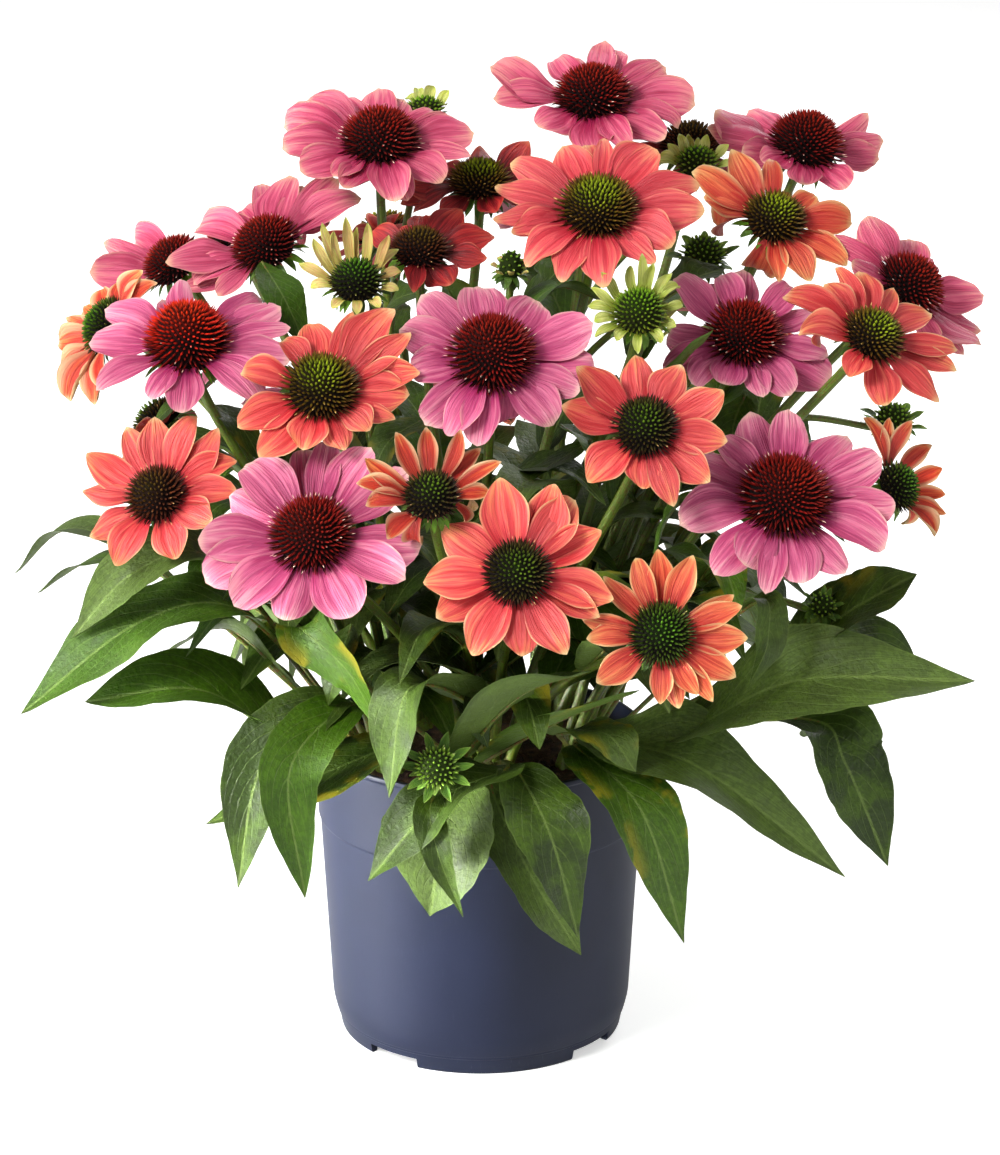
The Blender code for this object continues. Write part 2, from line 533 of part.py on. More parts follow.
PETAL_COLOURS = {
    "rose": (0.78, 0.16, 0.24),
    "pink": (0.80, 0.22, 0.38),
    "coral": (0.88, 0.20, 0.12),
    "red": (0.60, 0.04, 0.05),
    "opening": (0.72, 0.66, 0.22),
    "bud": (0.22, 0.32, 0.06),
}
PETAL_ROUGHNESS = 0.55
CONE_COLOUR = (0.16, 0.02, 0.015)
CONE_ROUGHNESS = 0.6
GREEN = (0.09, 0.16, 0.03)
GREEN_ROUGHNESS = 0.6
SOIL_COLOUR = (0.045, 0.028, 0.018)
SOIL_ROUGHNESS = 0.95
POT_COLOUR = (0.045, 0.055, 0.085)
POT_ROUGHNESS = 0.42


def add(name, mesh, matrix=None):
    obj = bpy.data.objects.new(name, mesh)
    bpy.context.scene.collection.objects.link(obj)
    if matrix is not None:
        obj.matrix_world = matrix
    return obj


def applied(body):
    """Replaces a body's mesh by what its modifiers make of it."""
    bpy.context.view_layer.update()
    graph = bpy.context.evaluated_depsgraph_get()
    whole = bpy.data.meshes.new_from_object(body.evaluated_get(graph))
    body.modifiers.clear()
    body.data = whole
    whole.name = body.name


def fused(name, base, others):
    """One body: the base mesh united with every other mesh, each in its own colours."""
    body = add(name, base)
    gathered = bpy.data.collections.new(name + "_shapes")
    bpy.context.scene.collection.children.link(gathered)
    for mesh in others:
        gathered.objects.link(bpy.data.objects.new(name + "_shape", mesh))
    union = body.modifiers.new("Union", "BOOLEAN")
    union.operation = "UNION"
    union.operand_type = "COLLECTION"
    union.collection = gathered
    union.material_mode = "TRANSFER"
    applied(body)
    for shape in list(gathered.objects):
        bpy.data.objects.remove(shape)
    bpy.data.collections.remove(gathered)


def cut(body, cutters):
    """Takes every cutter mesh out of the body."""
    for mesh in cutters:
        cutter = bpy.data.objects.new("cutter", mesh)
        bpy.context.scene.collection.objects.link(cutter)
        cutter.hide_render = True
        cutter.display_type = "WIRE"
        take = body.modifiers.new("Cut", "BOOLEAN")
        take.operation = "DIFFERENCE"
        take.object = cutter
        applied(body)
        bpy.data.objects.remove(cutter)


def prism(x, y, radius, low, high, sides, finishes=()):
    """An upright prism of round plan."""
    rings = [[Vector((x + radius * math.cos(2 * math.pi * j / sides),
                      y + radius * math.sin(2 * math.pi * j / sides), z)) for j in range(sides)]
             for z in (low, high)]
    return new_mesh("prism", *skinned(rings), finishes)


def turned(profile, sides):
    """A solid turned about the Z axis from an outline of (radius, height) points that begins and ends
    on the axis."""
    made = bmesh.new()
    corners = [made.verts.new((radius, 0, height)) for radius, height in profile]
    edges = [made.edges.new(pair) for pair in zip(corners, corners[1:])]
    bmesh.ops.spin(made, geom=corners + edges, cent=(0, 0, 0), axis=(0, 0, 1), angle=2 * math.pi,
                   steps=sides)
    bmesh.ops.remove_doubles(made, verts=made.verts, dist=1e-6)
    bmesh.ops.recalc_face_normals(made, faces=made.faces)
    mesh = bpy.data.meshes.new("turned")
    made.to_mesh(mesh)
    made.free()
    return mesh


def inner_radius(z):
    """Radius of the pot's bore at height z."""
    share = (z - WALL_BOTTOM) / (POT_HEIGHT - WALL_BOTTOM)
    return WALL_BOTTOM_R - WALL + share * (RIM_R - LIP - WALL_BOTTOM_R)


def notch_cutter(azimuth):
    """A box across the foot ring."""
    made = bmesh.new()
    place = (Matrix.Translation(direction(azimuth) * FOOT_R) @ Matrix.Rotation(math.radians(azimuth), 4, "Z")
             @ Matrix.Diagonal((NOTCH_WIDTH, 4 * FOOT_WIDTH, 2 * NOTCH_HEIGHT, 1)))
    bmesh.ops.create_cube(made, size=1, matrix=place)
    mesh = bpy.data.meshes.new("notch")
    made.to_mesh(mesh)
    made.free()
    return mesh


def pot():
    """A tapered tub with a collar, a foot ring with four drain notches, and four holes in its floor."""
    foot_inner = FOOT_R - FOOT_WIDTH
    profile = (
        (0.0, FLOOR_UNDER), (foot_inner, FLOOR_UNDER), (foot_inner, 0.0), (FOOT_R, 0.0),
        (FOOT_TOP_R, FOOT_TOP), (FOOT_TOP_R + LIP, FOOT_TOP + LIP), (WALL_BOTTOM_R, WALL_BOTTOM),
        (WALL_TOP_R, COLLAR_BOTTOM - COLLAR_STEP), (RIM_R - COLLAR_STEP, COLLAR_BOTTOM),
        (RIM_R - LIP, POT_HEIGHT - 4 * LIP), (RIM_R, POT_HEIGHT - 3 * LIP), (RIM_R, POT_HEIGHT),
        (inner_radius(POT_HEIGHT), POT_HEIGHT), (inner_radius(FLOOR_TOP), FLOOR_TOP), (0.0, FLOOR_TOP),
    )
    body = add("pot", turned(profile, POT_SIDES))
    body.data.materials.append(material("pot plastic", POT_COLOUR, POT_ROUGHNESS))
    cutters = [notch_cutter(azimuth) for azimuth in NOTCH_AZIMUTHS]
    for azimuth in NOTCH_AZIMUTHS:
        place = direction(azimuth) * DRAIN_RING_R
        cutters.append(prism(place.x, place.y, DRAIN_R, FLOOR_UNDER / 2, 2 * FLOOR_TOP, DRAIN_SIDES))
    cut(body, cutters)
    body.data.shade_smooth()
    body.data.set_sharp_from_angle(angle=math.radians(30))


def soil():
    """Soil that fills the pot to below its rim, with a crumbly top and a hole for each rootstock."""
    draw = random.Random(SEED)
    levels = [(radius, SOIL_TOP, SOIL_BUMP) for radius in SOIL_RING_RADII]
    levels.append((inner_radius(SOIL_TOP) - GAP, SOIL_TOP, 0.0))
    levels.append((inner_radius(FLOOR_TOP + GAP) - GAP, FLOOR_TOP + GAP, 0.0))
    points = [Vector((0, 0, SOIL_TOP))]
    for radius, height, bump in levels:
        for j in range(POT_SIDES):
            turn = 2 * math.pi * j / POT_SIDES
            points.append(Vector((radius * math.cos(turn), radius * math.sin(turn),
                                  height + draw.uniform(-1, 1) * bump)))
    faces = [(0, 1 + j, 1 + (j + 1) % POT_SIDES) for j in range(POT_SIDES)]
    for k in range(len(levels) - 1):
        inner, outer = 1 + k * POT_SIDES, 1 + (k + 1) * POT_SIDES
        faces += [tuple(reversed(face)) for face in between(inner, outer, POT_SIDES)]
    last = 1 + (len(levels) - 1) * POT_SIDES
    faces.append(tuple(last + j for j in reversed(range(POT_SIDES))))
    finish = material("soil", SOIL_COLOUR, SOIL_ROUGHNESS)
    body = add("soil", new_mesh("soil", points, faces, (finish,)))
    cut(body, [prism(clump.x, clump.y, ROOT_R + GAP, SOIL_TOP - ROOT_DEPTH - GAP, SOIL_TOP + ROOT_DEPTH,
                     ROOT_SIDES) for clump in CLUMPS.values()])


def whole_head(head, finishes):
    """The mesh of a head whose petals and dome are one skin."""
    points, faces = petals(head, True)
    return new_mesh("head", points, faces, finishes, (1, 1 + 5 * head.petals))


def blooms(petal_finishes, cone_finish):
    """The open heads: petals and cone each a body, or one body where the head is small or at the back."""
    for head in HEADS:
        if head.kind == "bud" or head.number in ON_STEM:
            continue
        label = f"bloom_{head.number:02d}"
        finish, place = petal_finishes[head.kind], head_matrix(head)
        if head.number in ONE_PIECE:
            add(label + "_head", whole_head(head, (finish, cone_finish)), place)
            continue
        add(label + "_petals", new_mesh(label + "_petals", *petals(head, False), (finish,)), place)
        add(label + "_cone", new_mesh(label + "_cone", *cone(head), (cone_finish,)), place)


def clumps(petal_finishes, cone_finish):
    """One body for each rootstock with its stems, leaves and buds, and the blooms that are part of it."""
    green = material("green", GREEN, GREEN_ROUGHNESS)
    for key, clump in CLUMPS.items():
        root = prism(clump.x, clump.y, ROOT_R, SOIL_TOP - ROOT_DEPTH, ROOT_TOP, ROOT_SIDES, (green,))
        own = [head for head in HEADS if head.clump == key]
        shapes = [new_mesh("stem", *stem(head), (green,)) for head in own]
        for head in own:
            if head.kind == "bud" or head.number in ON_STEM:
                dome_finish = petal_finishes["bud"] if head.kind == "bud" else cone_finish
                mesh = whole_head(head, (petal_finishes[head.kind], dome_finish))
                mesh.transform(head_matrix(head) @ Matrix.Translation((0, 0, -SINK)))
                shapes.append(mesh)
        shapes += [new_mesh("leaf", *made, (green,)) for made in skirt_leaves(key) + stem_leaves(key)]
        fused(clump.name, root, shapes)


def main():
    for obj in list(bpy.data.objects):
        bpy.data.objects.remove(obj)
    petal_finishes = {kind: material("petals " + kind, colour, PETAL_ROUGHNESS)
                      for kind, colour in PETAL_COLOURS.items()}
    cone_finish = material("cone", CONE_COLOUR, CONE_ROUGHNESS)
    pot()
    soil()
    blooms(petal_finishes, cone_finish)
    clumps(petal_finishes, cone_finish)


main()
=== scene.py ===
"""Coneflower plant in its nursery pot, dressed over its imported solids.

The rootstocks, stems, heads and leaves stand where the solids have them. Petals, spines, bracts and
blades are worked out here as grids of points, and their finishes read two attributes of those points:
way (across, along, seed) and tone (underside, place, draw). Metres, +Z up. The front is towards -Y, and
a direction round the plant is in degrees clockwise from the front, seen from above.
"""

import math
import random
from collections import namedtuple

import bpy
import numpy as np
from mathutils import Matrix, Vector


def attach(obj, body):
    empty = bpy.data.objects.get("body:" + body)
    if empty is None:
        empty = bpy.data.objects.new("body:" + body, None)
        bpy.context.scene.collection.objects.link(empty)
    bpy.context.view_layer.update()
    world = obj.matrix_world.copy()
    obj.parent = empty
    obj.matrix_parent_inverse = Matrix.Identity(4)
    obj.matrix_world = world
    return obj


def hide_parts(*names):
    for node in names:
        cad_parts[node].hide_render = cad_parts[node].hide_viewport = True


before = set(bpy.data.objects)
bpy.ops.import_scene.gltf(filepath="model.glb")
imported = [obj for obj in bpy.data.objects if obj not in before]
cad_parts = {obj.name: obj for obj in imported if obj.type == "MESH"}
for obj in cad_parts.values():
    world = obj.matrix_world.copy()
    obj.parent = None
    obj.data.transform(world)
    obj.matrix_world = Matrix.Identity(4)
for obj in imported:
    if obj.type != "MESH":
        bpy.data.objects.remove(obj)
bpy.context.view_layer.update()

# The pot, the soil and the rootstocks
RIM_R, POT_HEIGHT = 0.085, 0.160
COLLAR_BOTTOM, COLLAR_STEP = 0.118, 0.0012
WALL_TOP_R, WALL_BOTTOM_R, WALL_BOTTOM = 0.0828, 0.0773, 0.017
FOOT_TOP_R, FOOT_TOP, FOOT_R, FOOT_WIDTH = 0.0748, 0.0095, 0.0730, 0.0040
WALL, LIP = 0.0016, 0.0008
FLOOR_UNDER, FLOOR_TOP = 0.0060, 0.0085
NOTCH_AZIMUTHS = (-38.0, 52.0, 142.0, 232.0)
NOTCH_WIDTH, NOTCH_HEIGHT = 0.030, 0.0055
DRAIN_R, DRAIN_RING_R = 0.0045, 0.055
POT_SIDES, DRAIN_SIDES = 160, 24
SOIL_TOP = 0.1470
SOIL_SIDES, SOIL_RINGS, SOIL_LUMPS = 120, 44, ((0.0012, 0.018), (0.0009, 0.007), (0.0007, 0.0028))
CRUMBS, CRUMB_SIZE, CRUMB_HEIGHT, LATTICE = 620, (0.0008, 0.0024), 0.0006, 64
ROOT_R, ROOT_DEPTH, ROOT_TOP, ROOT_RINGS, ROOT_SIDES = 0.0110, 0.024, 0.1560, 14, 28
STEM_RING_R, STEM_FOOT = 0.0075, 0.1530
STALK_RING_R, STALK_FOOT = 0.0092, 0.1532

# The stems: radius, rings and sides, the pull of their curve's two middle points, how far below its foot
# a stem is rooted, the share of the cone's radius that it reaches under the head, and how near the head
# it widens
STEM_R, BUD_STEM_R, STEM_RINGS, STEM_SIDES = 0.0025, 0.0018, 34, 12
STEM_RISE, STEM_SPREAD, STEM_APPROACH = 0.42, 0.22, 0.24
STEM_ROOT, COLLAR_SHARE, COLLAR_REACH, NECK_REACH = 0.006, 0.66, 0.0065, 0.022
BRISTLES, BRISTLE_WIDTH, BRISTLE_LENGTH = 60, 0.00011, (0.0009, 0.0016)
GAP = 0.0003

# The cones: the dome's rings and sides, its share of the cone's size, its foot, how far round from the
# crown the dome and its spines reach, how far round its closing point lies, the area that each spine has,
# on coarse cones too, how deep a spine is rooted, and how much of its width it keeps to half its length
DOME_RINGS, DOME_SIDES = 10, 26
DOME_SHARE, DOME_FOOT, DOME_FALL, DOME_BASE_FALL = 0.86, 0.0016, math.radians(104), 1.8
SPINE_FALL, SPINE_AREA, COARSE_SPINE_AREA = math.radians(98), 5.2e-6, 7.5e-6
SPINE_ROOT, SPINE_KEPT = 0.0006, 0.82
GOLDEN_ANGLE = math.pi * (3 - math.sqrt(5))

# The petals: thickness, where their grooves lie across them, how far they stand over the ring and over or
# under their neighbours (metres, then degrees), the rise from which they count as upright (degrees), the
# share of the cone's radius where upright and level petals start, and how far they may bend (degrees)
PETAL_THICK, GROOVE_PLACE = 0.00042, 0.36
PETAL_LIFT, LAYER_LIFT, LAYER_RISE = 0.0006, 0.0005, 4.5
UPRIGHT, UPRIGHT_HUB, LEVEL_HUB = 15, 0.96, 0.80
LEAST_BEND, MOST_BEND = -120, 60

# The bracts under them
BRACT_THICK, BRACT_LENGTH, BRACT_WIDTH, BRACT_DROP = 0.0005, 0.003, 0.0034, 0.0012

# The leaves: the stalks' sizes, where the blade starts on a skirt leaf's route, a blade's thickness, its
# thinnest edge, its pairs of veins, how far these run forward and pucker it, its teeth and their depth,
# the share of it that its rib reaches, the rings of stalk and rib, the rows and columns of the blades, and
# the size and places of the leaves that fill the plant
LEAF_STALK, SMALL_STALK, SMALL_STALK_SIDES, BLADE_START = 0.0026, 0.0008, 6, 0.42
BLADE_THICK, BLADE_EDGE, VEIN_PAIRS, VEIN_FORWARD, PUCKER = 0.0005, 0.0002, 8, 0.42, 0.022
TEETH, TOOTH_DEPTH, RIB_REACH, STALK_RINGS, RIB_RINGS = 9, 0.045, 0.96, 30, 14
SKIRT_GRID, SMALL_GRID, LARGE_GRID, FILL_GRID = (42, 17), (24, 11), (30, 13), (18, 9)
LARGE_WIDTH, FILL_WIDTH, FILL_LENGTH = 0.32, 0.34, (0.055, 0.090)
FILL_PLACES, FILL_STRETCH = (0.10, 0.22, 0.34, 0.46), 0.12
RIM_CLEARANCE, RIM_SHARES, RIM_INSIDE = 0.012, (0.35, 0.45, 0.55, 0.65), 0.92

# The photograph's view
EYE = np.array((0.010, -2.0, 0.912))
EYE_PITCH = math.radians(18.5)
FOCAL_PX = 4150.0
CENTRE_PX = (500.0, 577.5)
PHOTO_HEIGHT_PX = 1155
SENSOR_MM = 36.0
UP = np.array((0.0, 0.0, 1.0))


def at(x, y, z):
    """A point."""
    return np.array((x, y, z), float)


def seen(u, v, y):
    """The point of the plant that the photograph shows at pixel (u, v), y metres behind the pot's axis."""
    across = (u - CENTRE_PX[0]) / FOCAL_PX
    above = (CENTRE_PX[1] - v) / FOCAL_PX
    forward = math.cos(EYE_PITCH) + above * math.sin(EYE_PITCH)
    rise = above * math.cos(EYE_PITCH) - math.sin(EYE_PITCH)
    reach = (y - EYE[1]) / forward
    return at(EYE[0] + across * reach, y, EYE[2] + rise * reach)


CLUMPS = {"front": (0.006, -0.047), "left": (-0.046, -0.018), "right": (0.048, -0.014),
          "middle": (0.000, 0.000), "back left": (-0.034, 0.040), "back right": (0.034, 0.042)}

# A head: its clump, the middle of its petal ring, the direction that it leans (degrees) and how far
# from straight up (degrees), its radius to the petal tips, its cone's radius and height, its petals'
# number and width, how far they rise at the ring (degrees), how far they bend on the way out (degrees),
# the finish of its petals and that of its cone. The middle is given as seen takes it, and for the heads at
# the back, whose numbers start at FIRST_AT_BACK, as a point.
FIRST_AT_BACK = 41
Head = namedtuple("Head", "number clump place lean tilt spread cone_r cone_h petals width rise bend "
                          "kind cone")
HEADS = [Head(number, clump, (at if number >= FIRST_AT_BACK else seen)(*place), *rest)
         for number, clump, place, *rest in (
    (1, "back right", (593, 102, 0.050), 0, 19, 0.0500, 0.0180, 0.019, 12, 0.0190, 6, -16, "rose", "wine"),
    (2, "back left", (380, 145, 0.020), 5, 24, 0.0480, 0.0180, 0.019, 12, 0.0185, 4, -16, "rose", "wine"),
    (3, "back right", (805, 150, 0.075), 42, 22, 0.0465, 0.0180, 0.020, 12, 0.0185, -2, -14, "rose", "wine"),
    (4, "middle", (597, 212, -0.035), 0, 32, 0.0500, 0.0185, 0.015, 14, 0.0170, 8, -18, "salmon", "olive"),
    (5, "right", (773, 222, 0.000), 18, 38, 0.0410, 0.0150, 0.013, 12, 0.0145, 8, -20, "amber", "olive"),
    (6, "back left", (268, 249, 0.012), -38, 32, 0.0480, 0.0160, 0.016, 12, 0.0170, 8, -12, "rose", "wine"),
    (7, "left", (176, 266, 0.050), -60, 36, 0.0450, 0.0150, 0.014, 10, 0.0165, 8, -14, "rose", "wine"),
    (8, "left", (357, 286, -0.050), 0, 26, 0.0270, 0.0125, 0.013, 14, 0.0050, 34, -24, "blush", "green"),
    (9, "middle", (420, 254, -0.020), 8, 20, 0.0390, 0.0140, 0.012, 12, 0.0140, 2, -26, "red", "brown"),
    (10, "back left", (480, 186, 0.040), 0, 17, 0.0350, 0.0150, 0.012, 12, 0.0130, -6, -30, "red", "olive"),
    (11, "left", (188, 346, -0.060), -8, 27, 0.0500, 0.0190, 0.024, 14, 0.0165, 4, -16, "pink", "fire"),
    (12, "left", (110, 328, 0.000), -76, 62, 0.0370, 0.0140, 0.012, 10, 0.0115, 14, -10, "flame", "green"),
    (13, "left", (321, 392, -0.100), 2, 38, 0.0440, 0.0175, 0.016, 12, 0.0155, 8, -22, "coral", "olive"),
    (14, "middle", (492, 359, -0.085), 0, 41, 0.0465, 0.0195, 0.022, 12, 0.0190, 4, -18, "pink", "wine"),
    (15, "middle", (639, 316, -0.080), 0, 34, 0.0250, 0.0125, 0.013, 14, 0.0048, 30, -26, "lime", "lime"),
    (16, "right", (743, 338, -0.045), 8, 38, 0.0410, 0.0175, 0.016, 12, 0.0160, 4, -20, "pink", "wine"),
    (17, "right", (871, 339, -0.075), 34, 42, 0.0430, 0.0145, 0.013, 12, 0.0145, 4, -20, "coral", "olive"),
    (18, "right", (906, 290, -0.012), 56, 46, 0.0430, 0.0165, 0.018, 12, 0.0155, 0, -16, "rose", "wine"),
    (19, "front", (645, 430, -0.120), -6, 50, 0.0385, 0.0145, 0.014, 10, 0.0150, 6, -14, "coral", "moss"),
    (20, "right", (784, 501, -0.115), 8, 42, 0.0500, 0.0205, 0.022, 14, 0.0175, 4, -16, "pink", "wine"),
    (21, "right", (893, 488, -0.045), 62, 60, 0.0310, 0.0120, 0.012, 10, 0.0080, 22, -14, "flame", "green"),
    (22, "left", (158, 498, -0.090), -24, 48, 0.0390, 0.0145, 0.013, 12, 0.0145, 6, -16, "coral", "brown"),
    (23, "front", (312, 538, -0.140), -10, 44, 0.0495, 0.0185, 0.018, 12, 0.0200, 2, -18, "pink", "wine"),
    (24, "front", (431, 499, -0.152), 0, 42, 0.0330, 0.0125, 0.012, 10, 0.0090, 22, -16, "flame", "moss"),
    (25, "front", (517, 575, -0.168), 0, 54, 0.0430, 0.0150, 0.014, 10, 0.0170, 4, -14, "coral", "moss"),
    (26, "front", (661, 636, -0.175), 4, 57, 0.0375, 0.0145, 0.014, 12, 0.0120, 8, -14, "amber", "green"),
    (33, "back right", (690, 150, 0.105), 10, 14, 0.0350, 0.0150, 0.014, 10, 0.0120, 0, -24, "red", "brown"),
    (41, "back left", (-0.125, 0.095, 0.392), 235, 34, 0.044, 0.0165, 0.016, 10, 0.017, 4, -16, "rose", "wine"),
    (42, "back left", (-0.050, 0.140, 0.385), 205, 34, 0.043, 0.015, 0.014, 10, 0.016, 6, -18, "coral", "olive"),
    (43, "back right", (0.040, 0.150, 0.398), 175, 32, 0.046, 0.018, 0.018, 10, 0.018, 4, -16, "pink", "wine"),
    (44, "back right", (0.140, 0.138, 0.338), 136, 36, 0.043, 0.015, 0.014, 10, 0.016, 6, -18, "coral", "moss"),
    (45, "back left", (-0.165, 0.062, 0.305), 252, 48, 0.040, 0.015, 0.014, 10, 0.015, 6, -16, "coral", "moss"),
    (46, "back left", (-0.088, 0.160, 0.296), 210, 48, 0.045, 0.0175, 0.018, 10, 0.017, 4, -16, "pink", "fire"),
    (47, "back left", (0.006, 0.172, 0.300), 182, 50, 0.040, 0.0145, 0.014, 10, 0.015, 6, -16, "coral", "olive"),
    (48, "back right", (0.090, 0.166, 0.274), 156, 48, 0.043, 0.0165, 0.017, 10, 0.016, 4, -16, "rose", "wine"),
    (49, "back right", (0.180, 0.060, 0.272), 108, 48, 0.040, 0.015, 0.014, 10, 0.015, 6, -16, "coral", "green"),
    (27, "front", (437, 768, -0.150), 0, 60, 0.0190, 0.0095, 0.009, 10, 0.0045, 24, -12, "bud", "bud"),
    (28, "back right", (697, 165, 0.058), 0, 14, 0.0190, 0.0105, 0.010, 8, 0.0048, 40, -14, "lime", "lime"),
    (29, "middle", (703, 256, 0.030), 0, 22, 0.0200, 0.0110, 0.010, 8, 0.0050, 18, -12, "bud", "bud"),
    (30, "back left", (425, 112, 0.070), 10, 12, 0.0190, 0.0095, 0.008, 8, 0.0048, 42, -12, "lime", "lime"),
    (31, "right", (893, 420, 0.010), 20, 22, 0.0190, 0.0095, 0.008, 8, 0.0045, 26, -14, "bud", "bud"),
    (32, "right", (822, 606, -0.070), 20, 40, 0.0125, 0.0065, 0.006, 8, 0.0028, 30, -12, "bud", "bud"),
    (35, "middle", (511, 268, -0.030), 0, 18, 0.0110, 0.0065, 0.010, 8, 0.0035, 55, -40, "blush", "bud"),
)]
BUDS = (27, 28, 29, 30, 31, 32, 35)
WHOLE_HEADS = (7, 8, 12, 15, 21, 33, 41, 42, 43, 44)
ON_STEM = (45, 46, 47, 48, 49)
SIDE_SHOOTS = {28: (1, 0.55), 29: (4, 0.55), 30: (2, 0.60), 31: (18, 0.55), 32: (20, 0.45), 35: (14, 0.55)}

